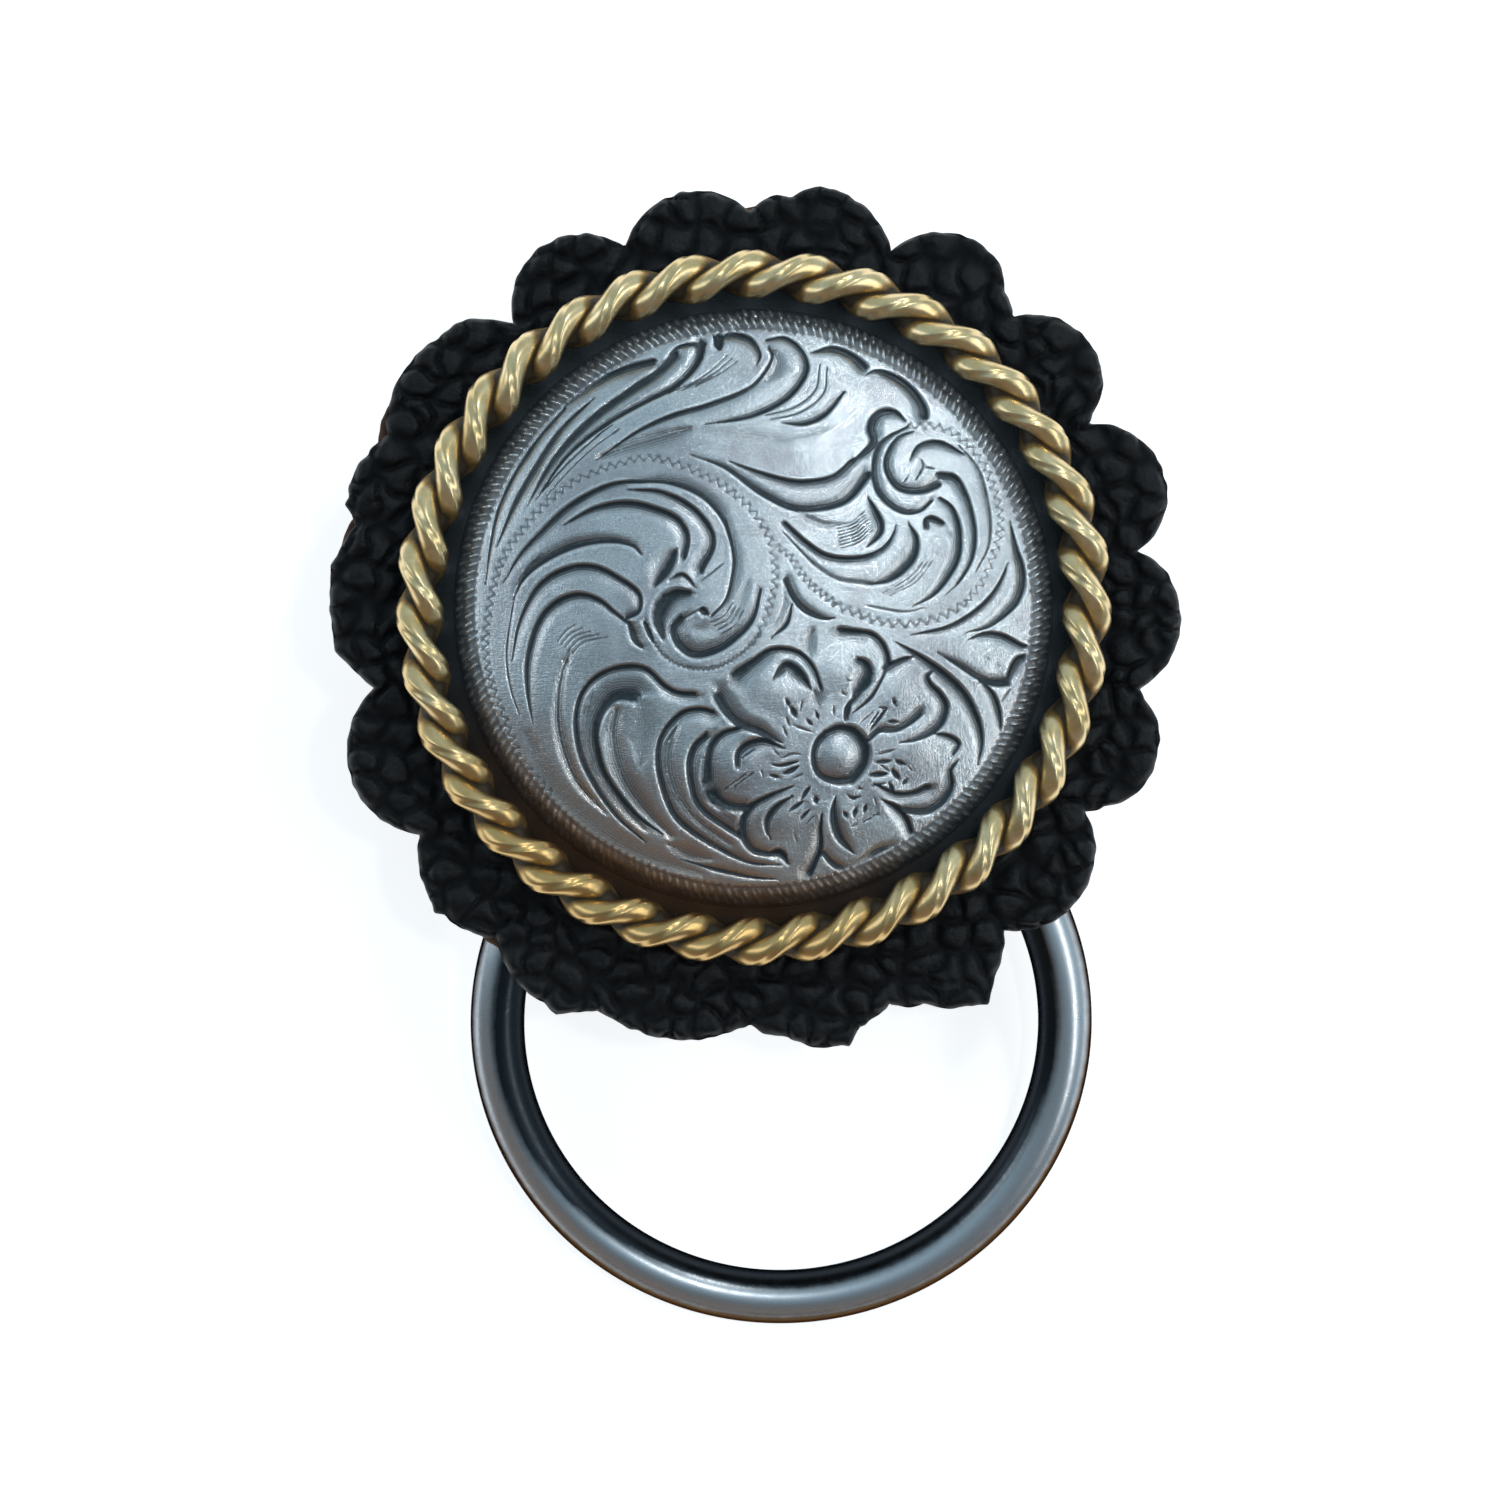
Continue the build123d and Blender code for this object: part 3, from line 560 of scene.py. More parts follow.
# How fine the face's mesh is, in millimetres. A cut whose half width is over WIDE_CUT has points halfway up
# its walls too. The rows along cuts, the rings and the field end at some distance inside the border's inner
# radius, and the rings start a little inside the rim's foot.
PATH_STEP = 0.15
FIELD_STEP = 0.17
WIDE_CUT = 0.11
OUTSIDE_CUT = 0.06
NEAREST_CUT = 0.04
NEAREST_BORDER = 0.036
NEAREST_FIELD = 0.11
ROWS_END = 0.1
RINGS_END = 0.12
FIELD_END = 0.2
RINGS_START = 0.07
RIM_POINTS = 720

# The camera: its lens and place in millimetres
LENS = 112.2
CAMERA_PLACE = (-0.397, -7.855, 266.95)

# Lights: where they are and the height on the axis that they look at, in metres, their size and power
LIGHTS = [
    # name, place, target height, size, power, colour
    ("window", (0.152, 0.205, 0.365), 0.015, (0.040, 0.045), 0.21, (0.95, 0.98, 1.0)),
    ("high_window", (0.083, 0.005, 0.43), 0.015, (0.018, 0.018), 0.13, (0.95, 0.98, 1.0)),
    ("left_side", (-0.40, 0.10, 0.25), 0.01, (0.15, 0.30), 0.22, (0.9, 0.95, 1.0)),
    ("right_strip", (0.33, -0.12, 0.30), 0.01, (0.36, 0.055), 0.31, (1.0, 0.98, 0.95)),
]

# The surrounding light's colours, from the lower left to the upper right
SKY_TOWARDS = (0.35, 0.94, 0.0)
SKY = [
    # position, colour
    (0.0, (0.21, 0.175, 0.155)),
    (0.07, (0.185, 0.175, 0.17)),
    (0.20, (0.138, 0.17, 0.193)),
    (0.375, (0.24, 0.35, 0.425)),
    (0.65, (0.34, 0.475, 0.565)),
    (1.0, (0.43, 0.56, 0.64)),
]

# Specks, fine grain and soft patches of tarnish on the silver: noise that covers the metal from low to high
SILVER_FILMS = [
    # scale, detail, rough, low, high, most, colour
    (5200, 5, 0.7, 0.56, 0.78, 0.6, (0.22, 0.22, 0.22)),
    (9000, 2, 0.5, 0.4, 0.7, 0.4, (0.40, 0.42, 0.43)),
    (230, 3, 0.55, 0.46, 0.64, 0.45, (0.36, 0.33, 0.35)),
]

# Towards the low side, where the metals are painted brown as a reflection of brown surroundings, and where on
# it the painted brown starts and is full
BROWN_REFLECTION_TOWARDS = (-0.40, -0.917, 0)
BROWN_REFLECTION_START = 0.0085
BROWN_REFLECTION_FULL = 0.0155

# The chart's unit in millimetres
unit = DOME_R / 100


def angles_round(count):
    """Evenly spaced angles all round."""
    return 2 * np.pi * np.arange(count) / count


def ring_points(radius, angle, height=None):
    """Points by their radius and angle, and at a height where one is given."""
    columns = [radius * np.cos(angle), radius * np.sin(angle)]
    if height is not None:
        columns.append(height + 0 * angle)
    return np.stack(columns, axis=1)


def radii(points):
    """How far points lie from the middle."""
    return np.hypot(points[:, 0], points[:, 1])


def between(t, t_a, a, t_b, b):
    """The point at t on the straight line that is at a at t_a and at b at t_b."""
    return ((t_b - t) * a + (t - t_a) * b) / (t_b - t_a)


def smooth_path(points, step):
    """A smooth line through given points, divided into runs of about one step."""
    p = np.array(points, float)
    if len(p) == 2:
        count = max(2, math.ceil(np.linalg.norm(p[1] - p[0]) / step) + 1)
        share = np.linspace(0, 1, count)[:, None]
        return p[0] + (p[1] - p[0]) * share
    p = np.vstack([2 * p[0] - p[1], p, 2 * p[-1] - p[-2]])
    knots = np.concatenate([[0], np.cumsum(np.sqrt(np.linalg.norm(np.diff(p, axis=0), axis=1)))])
    line = []
    for i in range(1, len(p) - 2):
        t0, t1, t2, t3 = knots[i - 1:i + 3]
        count = max(1, math.ceil(np.linalg.norm(p[i + 1] - p[i]) / step))
        t = (t1 + (t2 - t1) * np.arange(count) / count)[:, None]
        a1 = between(t, t0, p[i - 1], t1, p[i])
        a2 = between(t, t1, p[i], t2, p[i + 1])
        a3 = between(t, t2, p[i + 1], t3, p[i + 2])
        b1 = between(t, t0, a1, t2, a2)
        b2 = between(t, t1, a2, t3, a3)
        line.append(between(t, t1, b1, t2, b2))
    line.append(p[-2:-1])
    return np.vstack(line)


def normals_along(line):
    """Unit vectors to the left of a line at each of its points."""
    along = np.gradient(line, axis=0)
    along /= np.maximum(np.linalg.norm(along, axis=1), 1e-9)[:, None]
    return np.stack([-along[:, 1], along[:, 0]], axis=1)


def inner_side(line):
    """1 where a line curves to its left, -1 where it curves to its right, 0 where it is straight."""
    along = np.diff(line, axis=0)
    turning = (along[:-1, 0] * along[1:, 1] - along[:-1, 1] * along[1:, 0]).sum()
    return float(np.sign(turning)) if abs(turning) > 1e-6 else 0.0


class Stroke:
    """One cut: its line, its half width along it, how soft it is on one side and how dark it gets."""

    def __init__(self, line, widths, soft=0.0, strength=1.0, broad=False, lipped=True):
        run = np.concatenate([[0], np.cumsum(np.linalg.norm(np.diff(line, axis=0), axis=1))])
        share = run / run[-1]
        start, middle, end = np.array(widths) * unit
        ends = np.where(share < 0.5, start, end)
        self.line = line
        self.half = CUT_SPREAD * (ends + (middle - ends) * np.sin(np.pi * share)) / 2
        self.soft = soft
        self.strength = strength
        self.broad = broad
        self.lipped = lipped and not broad

    def mesh_points(self):
        """Points for the mesh in rows along the cut: its bottom, its edges and just outside them."""
        left = normals_along(self.line)
        offsets = [self.half]
        if self.half.max() > WIDE_CUT:
            offsets.append(0.5 * self.half)
        offsets.append(self.half + OUTSIDE_CUT)
        rows = [self.line]
        for offset in offsets:
            for side in (1, -1):
                rows.append(self.line + left * (side * offset)[:, None])
        return np.vstack(rows)

    def nearest(self, points):
        """How far points lie from the line, its half width there, and their side: above zero on its left."""
        run = np.diff(self.line, axis=0)
        length2 = np.maximum((run**2).sum(axis=1), 1e-12)
        gone = points[:, None, :] - self.line[None, :-1]
        t = np.clip((gone * run[None]).sum(axis=2) / length2[None], 0, 1)
        distance = np.linalg.norm(gone - t[..., None] * run[None], axis=2)
        which = distance.argmin(axis=1)
        rows = np.arange(len(points))
        t = t[rows, which]
        half = self.half[which] * (1 - t) + self.half[which + 1] * t
        cross = run[which, 0] * gone[rows, which, 1] - run[which, 1] * gone[rows, which, 0]
        return distance[rows, which], np.maximum(half, NARROWEST), cross

    def carve(self, points, face):
        """Deepen, darken, shade and lip the face where its points lie in the cut or beside it."""
        widest = self.half.max() * (1 + SOFT_REACH * abs(self.soft)) + 3 * LIP_WIDE
        low, high = self.line.min(axis=0) - widest, self.line.max(axis=0) + widest
        near = np.flatnonzero(np.all((points >= low) & (points <= high), axis=1))
        if len(near) == 0:
            return
        far, half, cross = self.nearest(points[near])
        on_soft = cross * self.soft > 0
        reach = half * np.where(on_soft, 1 + SOFT_REACH * abs(self.soft), 1.0)
        wall = np.clip(1 - far / reach, 0, 1)
        tone = 0 * wall
        lip = 0 * wall
        if self.broad:
            wall = wall * wall * (3 - 2 * wall)
            shade = HOLLOW_TONE * wall * self.strength
        else:
            # A soft side is less dark in the cut itself, and its painted shade reaches past the cut's edge
            steep = np.where(on_soft, SOFT_TONE, HARD_TONE)
            tone = np.clip(steep * np.clip(1 - far / half, 0, 1), 0, 1)
            shade = np.where(on_soft, wall**1.2, 0) * self.strength
        if self.lipped:
            whole = np.clip(half / LIP_WHOLE, 0.3, 1)
            edge = np.exp(-(((far - half - LIP_AWAY) / LIP_WIDE) ** 2)) * whole * self.strength
            lip = np.where(on_soft, 0, edge)
        depth = np.minimum(CUT_SLOPE * half, DEEPEST) * wall * self.strength
        for name, found in (("depth", depth), ("dark", tone * self.strength), ("lip", lip)):
            face[name][near] = np.maximum(face[name][near], found)
        stronger = shade > face["shade"][near]
        face["shade"][near] = np.where(stronger, shade, face["shade"][near])
        face["away"][near] = np.where(stronger, far, face["away"][near])


def wriggle_line(points, pitch, amplitude):
    """A zigzag about a smooth line."""
    line = smooth_path(points, pitch / 4)
    left = normals_along(line)
    swing = np.array([0, 1, 0, -1])[np.arange(len(line)) % 4] * amplitude
    return line + left * swing[:, None]


def engraving():
    """All the strokes of the face."""
    strokes = []
    for start, middle, end, soft, points in CUTS:
        line = smooth_path(np.array(points) * unit, PATH_STEP)
        strokes.append(Stroke(line, (start, middle, end), soft or INNER_SOFT * inner_side(line)))
    for width, points in HAIRLINES:
        line = smooth_path(np.array(points) * unit, PATH_STEP)
        strokes.append(Stroke(line, HAIR_TAPER * width))
    for width, strength, points in SHADES:
        line = smooth_path(np.array(points) * unit, 2 * PATH_STEP)
        strokes.append(Stroke(line, SHADE_TAPER * width, 0, strength, broad=True))
    for count, width, first, last in HATCHES:
        for share in np.linspace(0, 1, count):
            points = np.array(first) * (1 - share) + np.array(last) * share
            line = smooth_path(points * unit, PATH_STEP)
            strokes.append(Stroke(line, HATCH_TAPER * width, 0, HATCH_STRENGTH, lipped=False))
    for pitch, amplitude, width, points in WRIGGLES:
        line = wriggle_line(np.array(points) * unit, pitch * unit, amplitude * unit)
        strokes.append(Stroke(line, (width, width, width), 0, WRIGGLE_STRENGTH, lipped=False))
    return strokes


def waves(points, seed, scale):
    """Smooth uneven waves between about -1 and 1 over points, with lumps of about one scale."""
    rng = np.random.default_rng(seed)
    total = np.zeros(len(points))
    for _ in range(7):
        turn = rng.random() * 2 * math.pi
        long = 2 * math.pi / (scale * (0.7 + rng.random()))
        along = points[:, 0] * math.cos(turn) + points[:, 1] * math.sin(turn)
        total += np.sin(long * along + 6.3 * rng.random())
    return total / 3.5


def plate_profile(radius):
    """Height of the plain face at a radius: the dome, then the steep rim down to the seat."""
    dome = apex_z - BALL_R + np.sqrt(BALL_R**2 - np.minimum(radius, DOME_R) ** 2)
    down = np.clip((radius - DOME_R) / RIM_RUN, 0, 1)
    bulge = 4 * down * (1 - down) * RIM_BULGE * RIM_SLOPE / RIM_RUN
    return dome - RIM_RISE * down + np.where(radius > DOME_R, bulge, 0.0)


def border_teeth(points):
    """Height of the border's teeth at each point, how far out it lies, and bites into the inner edge.

    The teeth are uneven, as they are when struck by hand, and worn down at the bottom."""
    angle = np.arctan2(points[:, 1], points[:, 0])
    out = (radii(points) - BORDER_INNER_R) / (BORDER_OUTER_R - BORDER_INNER_R)
    rng = np.random.default_rng(TEETH_SEED)
    height = np.zeros(len(points))
    worn = TOOTH_HEIGHT + TOOTH_WEAR * np.cos(angle - BEST_SIDE)
    for low, high, shift, strength in BORDER_ROWS:
        turn = angle / (2 * np.pi) * BORDER_TEETH - BORDER_SLANT * out + shift
        tooth = np.floor(turn).astype(int) % BORDER_TEETH
        ends = rng.normal(0, TOOTH_ENDS, BORDER_TEETH)[tooth]
        wide = (TOOTH_WIDE + TOOTH_WIDER * rng.random(BORDER_TEETH))[tooth]
        tall = (TOOTH_TALL + (1 - TOOTH_TALL) * rng.random(BORDER_TEETH))[tooth]
        across = (turn - np.floor(turn) - 0.5 + TOOTH_ASIDE * rng.normal(0, 1, BORDER_TEETH)[tooth]) / wide
        along = (out - (low + high) / 2 - ends) / ((high - low) / 2)
        crown = np.clip(1 - np.abs(across) ** 1.6 - along**4, 0, 1)
        height = np.maximum(height, strength * tall * worn * crown)
    inside = (out > -0.08) & (out < 1)
    bites = BITES * np.cos(angle * BORDER_TEETH) * rng.random(BORDER_TEETH)[tooth]
    return height * inside, out, bites


def thin_out(points, taken, spacing):
    """Add to taken each point that keeps its spacing from those already there."""
    cells = {}
    for x, y in taken:
        cells.setdefault((x // spacing, y // spacing), []).append((x, y))
    for x, y in points:
        i, j = x // spacing, y // spacing
        near = [cells.get((i + di, j + dj), ()) for di in (-1, 0, 1) for dj in (-1, 0, 1)]
        if all((ox - x) ** 2 + (oy - y) ** 2 >= spacing**2 for cell in near for ox, oy in cell):
            cells.setdefault((i, j), []).append((x, y))
            taken.append((x, y))
    return taken


def face_points(strokes):
    """Points of the face from above: rows along the cuts, rings on the rim, an even field between."""
    taken = ring_points(RIM_R, angles_round(RIM_POINTS)).tolist()
    rows = np.vstack([stroke.mesh_points() for stroke in strokes])
    rows = rows[radii(rows) < BORDER_INNER_R - ROWS_END]
    taken = thin_out(rows.tolist(), taken, NEAREST_CUT)
    rings = []
    for k, radius in enumerate(np.linspace(RIM_R - RINGS_START, BORDER_INNER_R - RINGS_END, BORDER_RINGS)):
        rings.append(ring_points(radius, angles_round(BORDER_POINTS) + (k % 2) * math.pi / BORDER_POINTS))
    taken = thin_out(np.vstack(rings).tolist(), taken, NEAREST_BORDER)
    field = []
    row_step = FIELD_STEP * math.sqrt(3) / 2
    for j in range(int(-DOME_R / row_step), int(DOME_R / row_step) + 1):
        shift = 0.5 * (j % 2) * FIELD_STEP
        for x in np.arange(-DOME_R, DOME_R, FIELD_STEP):
            field.append((x + shift, j * row_step))
    field = np.array(field)
    field = field[radii(field) < BORDER_INNER_R - FIELD_END]
    return thin_out(field.tolist(), taken, NEAREST_FIELD)


def carved_face(flat, strokes):
    """The face's points at their heights, and the numbers on them that the silver reads."""
    face = {name: np.zeros(len(flat)) for name in ("depth", "dark", "shade", "away", "lip")}
    for stroke in strokes:
        stroke.carve(flat, face)
    lip = face["lip"] * np.clip(1 - 2 * face["dark"], 0, 1)
    radius = radii(flat)
    inner = np.clip((BORDER_INNER_R + 0.05 - radius) / 0.25, 0, 1)
    lift = UNEVEN * waves(flat, FACE_SEED, UNEVEN_LENGTH) * inner
    for across, up, bulge_r, height in BULGES:
        share = np.hypot(flat[:, 0] - across * unit, flat[:, 1] - up * unit) / (bulge_r * unit)
        lift += height * np.clip(1 - share**2, 0, 1) ** 2 * inner
    # The border's teeth stand on a ledge that rises outward, and fade out just before the rim's foot
    teeth, out, bites = border_teeth(flat)
    border = np.clip((out + 0.03 + bites) / 0.07, 0, 1)
    fade = np.clip((RIM_R - 0.05 - radius) / 0.1, 0, 1)
    struck_up = ((BORDER_RISE + BORDER_LEDGE * np.clip(out, 0, 1)) * teeth - BORDER_SUNK * border) * fade
    ground = 0.80 + 0.20 * np.clip((out - 0.7) / 0.3, 0, 1)
    ground_dark = border * np.clip(ground - 1.7 * np.clip(teeth - 0.10, 0, 1), 0, 1)
    z = plate_profile(radius) + lift + (LIP_RISE * lip - face["depth"]) * inner + struck_up
    numbers = {
        "patina": np.maximum(face["dark"] * inner, ground_dark),
        "struck": border,
        "shade": face["shade"] * inner,
        "away": face["away"],
        "lip": lip * inner,
    }
    return np.column_stack([flat, z]), numbers


def plate_section():
    """Radius and height of the plate's corners from the flange on: its hollow back, its post and the bore."""
    under_z = seat_z - PLATE_T
    hollow_top_r = DOME_R - PLATE_T * RIM_RISE / RIM_SLOPE

    def under(r):
        return r, apex_z - BALL_R + math.sqrt((BALL_R - PLATE_T) ** 2 - r**2)

    section = [
        (flange_r - PLATE_EDGE, seat_z),
        (flange_r, seat_z - PLATE_EDGE),
        (flange_r, under_z + PLATE_EDGE),
        (flange_r - PLATE_EDGE, under_z),
        (RIM_R - PLATE_T, under_z),
        under(hollow_top_r),
    ]
    for share in (0.75, 0.5, 0.25, 0):
        section.append(under(POST_R + (hollow_top_r - POST_R) * share))
    return section + [
        (POST_R, post_end_z + PLATE_EDGE),
        (POST_R - PLATE_EDGE, post_end_z),
        (BORE_R, post_end_z),
        (BORE_R, post_end_z + BORE_DEPTH),
    ]


class Graph:
    """The nodes of a material or of the world, with short calls that add to them."""

    def __init__(self, owner):
        owner.use_nodes = True
        self.nodes = owner.node_tree.nodes
        self.links = owner.node_tree.links

    def put(self, socket, value):
        """Give a socket a number or a colour, or link another socket to it."""
        if isinstance(value, bpy.types.NodeSocket):
            self.links.new(value, socket)
        else:
            socket.default_value = (*value, 1) if socket.type == "RGBA" else value

    def fill(self, node, inputs):
        """Give a node its inputs by name."""
        for name, value in inputs.items():
            self.put(node.inputs[name], value)

    def add(self, kind, inputs=(), **settings):
        """A new node with its settings and inputs."""
        node = self.nodes.new("ShaderNode" + kind)
        for name, value in settings.items():
            setattr(node, name, value)
        self.fill(node, dict(inputs))
        return node

    def mix(self, share, first, second):
        """A colour between two colours, by a share from 0 to 1."""
        node = self.add("Mix", {"Factor": share}, data_type="RGBA")
        colours = [socket for socket in node.inputs if socket.type == "RGBA"]
        self.put(colours[0], first)
        self.put(colours[1], second)
        return next(socket for socket in node.outputs if socket.type == "RGBA")

    def calc(self, operation, *values):
        """The result of one operation on values."""
        node = self.add("Math", operation=operation)
        for socket, value in zip(node.inputs, values):
            self.put(socket, value)
        return node.outputs["Value"]

    def spread(self, value, low, high, out_low=0.0, out_high=1.0):
        """A value mapped from one range to another, clamped."""
        ends = {"From Min": low, "From Max": high, "To Min": out_low, "To Max": out_high}
        return self.add("MapRange", {"Value": value, **ends}).outputs["Result"]

    def noise(self, scale, detail=3.0, rough=0.55, stretch=None):
        """Noise in the piece's own metres."""
        place = self.add("TexCoord").outputs["Object"]
        if stretch:
            place = self.add("Mapping", {"Vector": place, "Scale": stretch}).outputs["Vector"]
        inputs = {"Vector": place, "Scale": scale, "Detail": detail, "Roughness": rough}
        return self.add("TexNoise", inputs).outputs["Fac"]

    def ragged(self, value, scale, amount):
        """A value made ragged by noise that adds as much as it takes away."""
        return self.calc("ADD", value, self.spread(self.noise(scale, 4, 0.65), 0.2, 0.8, -amount, amount))

    def attribute(self, name):
        """A number stored on the piece's points."""
        return self.add("Attribute", attribute_name=name).outputs["Fac"]

    def along(self, direction, place="Object"):
        """How far a point lies along a direction."""
        node = self.add("VectorMath", operation="DOT_PRODUCT")
        self.put(node.inputs[0], self.add("TexCoord").outputs[place])
        self.put(node.inputs[1], direction)
        return node.outputs["Value"]

    def bump(self, height, distance, strength):
        """A normal with bumps of some distance in metres."""
        inputs = {"Height": height, "Distance": distance, "Strength": strength}
        return self.add("Bump", inputs).outputs["Normal"]


def new_material(name):
    """A node material, its graph and its Principled shader."""
    material = bpy.data.materials.new(name)
    graph = Graph(material)
    return material, graph, graph.nodes["Principled BSDF"]


def brown_reflection_side(graph, most=1.0):
    """How far a point lies towards the low side, where brown is painted as a reflection, with a ragged edge.
    """
    return graph.spread(graph.ragged(graph.along(BROWN_REFLECTION_TOWARDS), 500, 0.0015), BROWN_REFLECTION_START, BROWN_REFLECTION_FULL, 0, most)


def silver_material():
    """Worn silver: scratched lustre on the flats, painted shade with graver lines beside the cuts, black
    patina in them, lips painted paler as rubbed metal and painted highlight, and a brown painted reflection
    towards the low side.
    """
    material, graph, shader = new_material("engraved_silver")
    dark = graph.attribute("patina")
    struck = graph.attribute("struck")
    blotch = graph.noise(420, 5, 0.6)
    flat = graph.mix(graph.spread(blotch, 0.3, 0.7), (0.60, 0.625, 0.635), (0.74, 0.76, 0.77))
    for scale, detail, rough, low, high, most, colour in SILVER_FILMS:
        flat = graph.mix(graph.spread(graph.noise(scale, detail, rough), low, high, 0, most), flat, colour)
    # Painted reflection: the flats are painted warmer towards the low side, and the border there brown
    flat = graph.mix(brown_reflection_side(graph, 0.8), flat, (0.70, 0.53, 0.42))
    flat = graph.mix(graph.calc("MULTIPLY", brown_reflection_side(graph, 0.85), struck), flat, (0.42, 0.25, 0.15))
    # Painted shade on the cuts' soft sides and in the broad hollows, with the graver's lines running along
    # the cut through it, one beside the other
    away = graph.ragged(graph.attribute("away"), 1500, 0.05)
    lines = graph.calc("SINE", graph.calc("MULTIPLY", away, 2 * math.pi / GRAVER_PITCH))
    shaded = graph.calc("MULTIPLY", graph.attribute("shade"), graph.spread(lines, -1, 1, 0.55, 1.25))
    tone = graph.mix(graph.spread(shaded, 0, 1, 0, 0.9), flat, (0.05, 0.055, 0.06))
    # Painted highlight: the raised lips beside the cuts are painted paler, partly as rubbed metal and partly
    # as light caught on their edges
    rubbed_and_highlit = graph.mix(graph.spread(graph.attribute("lip"), 0.25, 0.9, 0, 0.7), tone, (0.80, 0.82, 0.83))
    # The dark ground of the cuts and of the border, with soil on it; the border's ground is painted brown
    # towards the low side as a reflection
    struck_ground = graph.mix(brown_reflection_side(graph), (0.072, 0.080, 0.086), (0.150, 0.078, 0.042))
    ground = graph.mix(struck, (0.030, 0.042, 0.050), struck_ground)
    soil = graph.spread(graph.noise(2400, 5, 0.7), 0.55, 0.80, 0, 0.5)
    ground = graph.mix(soil, ground, (0.11, 0.11, 0.11))
    in_cuts = graph.spread(dark, 0.3, 1.0, 1.0, 0.5)
    in_border = graph.spread(struck, 0.0, 1.0, 1.0, 0.8)
    along, across = graph.noise(1800, 3, 0.6, (1.0, 9.0, 1.0)), graph.noise(1500, 3, 0.6, (7.0, 1.2, 1.0))
    grain = graph.calc("ADD", graph.calc("ADD", along, across), graph.noise(7000, 3, 0.6))
    graph.fill(shader, {
        "Base Color": graph.mix(graph.spread(graph.ragged(dark, 1100, 0.14), 0.08, 0.92), rubbed_and_highlit, ground),
        "Metallic": graph.calc("MULTIPLY", in_cuts, in_border),
        "Roughness": graph.spread(blotch, 0.3, 0.7, 0.28, 0.21),
        "Normal": graph.bump(grain, 0.000022, 0.8),
    })
    return material


def brass_material():
    """Antique brass: cream-gold worn crests, flanks painted orange-brown and dark brown as shade below the
    rope's middle, dark brown patina between the strands, browner towards the low side as a painted
    reflection.
    """
    material, graph, shader = new_material("antique_brass")
    dark = graph.attribute("patina")
    blotch = graph.spread(graph.noise(900, 4, 0.6), 0.3, 0.7)
    metal = graph.mix(blotch, (0.70, 0.50, 0.22), (0.92, 0.74, 0.44))
    # Painted reflection: the brass is painted browner towards the low side
    metal = graph.mix(brown_reflection_side(graph, 0.75), metal, (0.62, 0.38, 0.13))
    ragged = graph.ragged(dark, 1500, 0.18)
    brown = graph.mix(graph.spread(ragged, 0.0, 0.42), metal, (0.40, 0.245, 0.085))
    graph.fill(shader, {
        "Base Color": graph.mix(graph.spread(ragged, 0.36, 0.86), brown, (0.050, 0.034, 0.018)),
        "Metallic": graph.spread(dark, 0.3, 0.95, 0.95, 0.3),
        "Roughness": graph.spread(dark, 0.1, 0.9, 0.30, 0.55),
        "Normal": graph.bump(graph.noise(1900, 3, 0.5), 0.000012, 0.8),
    })
    return material


def leather_material(name, dark, light, rough):
    """Grained leather: fine creases and pores over the modelled grain."""
    material, graph, shader = new_material(name)
    graph.fill(shader, {
        "Base Color": graph.mix(graph.spread(graph.noise(700, 4), 0.3, 0.7), dark, light),
        "Specular IOR Level": 0.26,
        "Roughness": graph.spread(graph.attribute("grain"), 0.1, 0.8, 0.85, rough),
        "Normal": graph.bump(graph.noise(4200, 6, 0.65), 0.00006, 0.9),
    })
    return material


def strap_material():
    """Smooth dark strap leather: waxed and a little worn, with pores, faint creases across and scuffs."""
    material, graph, shader = new_material("keeper_strap")
    blotch = graph.noise(380, 5, 0.6)
    colour = graph.mix(graph.spread(blotch, 0.35, 0.65), (0.022, 0.014, 0.010), (0.050, 0.033, 0.022))
    scuff = graph.spread(graph.noise(1600, 6, 0.7, (1.0, 0.35, 1.0)), 0.60, 0.80, 0, 0.7)
    place = graph.add("TexCoord").outputs["Object"]
    pores = graph.add("TexVoronoi", {"Vector": place, "Scale": 2600}).outputs["Distance"]
    creases = graph.noise(900, 5, 0.6, (2.5, 0.6, 1.0))
    grain = graph.calc("ADD", graph.spread(pores, 0.0, 0.35), creases)
    graph.fill(shader, {
        "Base Color": graph.mix(scuff, colour, (0.14, 0.095, 0.06)),
        "Specular IOR Level": 0.45,
        "Roughness": graph.spread(blotch, 0.3, 0.7, 0.38, 0.62),
        "Normal": graph.bump(grain, 0.00006, 0.8),
    })
    return material


def screw_material():
    """Nickel-plated steel with faint wear."""
    material, graph, shader = new_material("nickel_screw")
    wear = graph.noise(1500, 5, 0.6)
    nickel = (0.62, 0.63, 0.64)
    tint = tuple(0.86 * c for c in nickel)
    graph.fill(shader, {
        "Base Color": graph.mix(graph.spread(wear, 0.35, 0.7), nickel, tint),
        "Metallic": 1.0,
        "Roughness": graph.spread(wear, 0.3, 0.75, 0.25, 0.37),
        "Normal": graph.bump(graph.noise(6000, 3), 0.000004, 0.5),
    })
    return material


def ring_material():
    """Polished steel wire: a painted dark reflection where it faces the ring's middle and on its outer edge,
    a painted brown reflection low on its outside.
    """
    material, graph, shader = new_material("polished_ring")
    wear = graph.noise(1500, 5, 0.6)
    steel = graph.mix(graph.spread(wear, 0.35, 0.7), (0.62, 0.65, 0.68), (0.52, 0.55, 0.58))
    painted_reflection_colour = graph.mix(graph.attribute("rust"), (0.030, 0.036, 0.042), (0.17, 0.11, 0.065))
    oxide = graph.spread(graph.ragged(graph.attribute("oxide"), 1300, 0.10), 0.05, 0.95)
    graph.fill(shader, {
        "Base Color": graph.mix(oxide, steel, painted_reflection_colour),
        "Metallic": 1.0,
        "Specular Tint": (0.16, 0.13, 0.11),
        "Roughness": graph.spread(wear, 0.3, 0.75, 0.25, 0.36),
        "Normal": graph.bump(graph.noise(6000, 3), 0.000004, 0.5),
    })
    return material


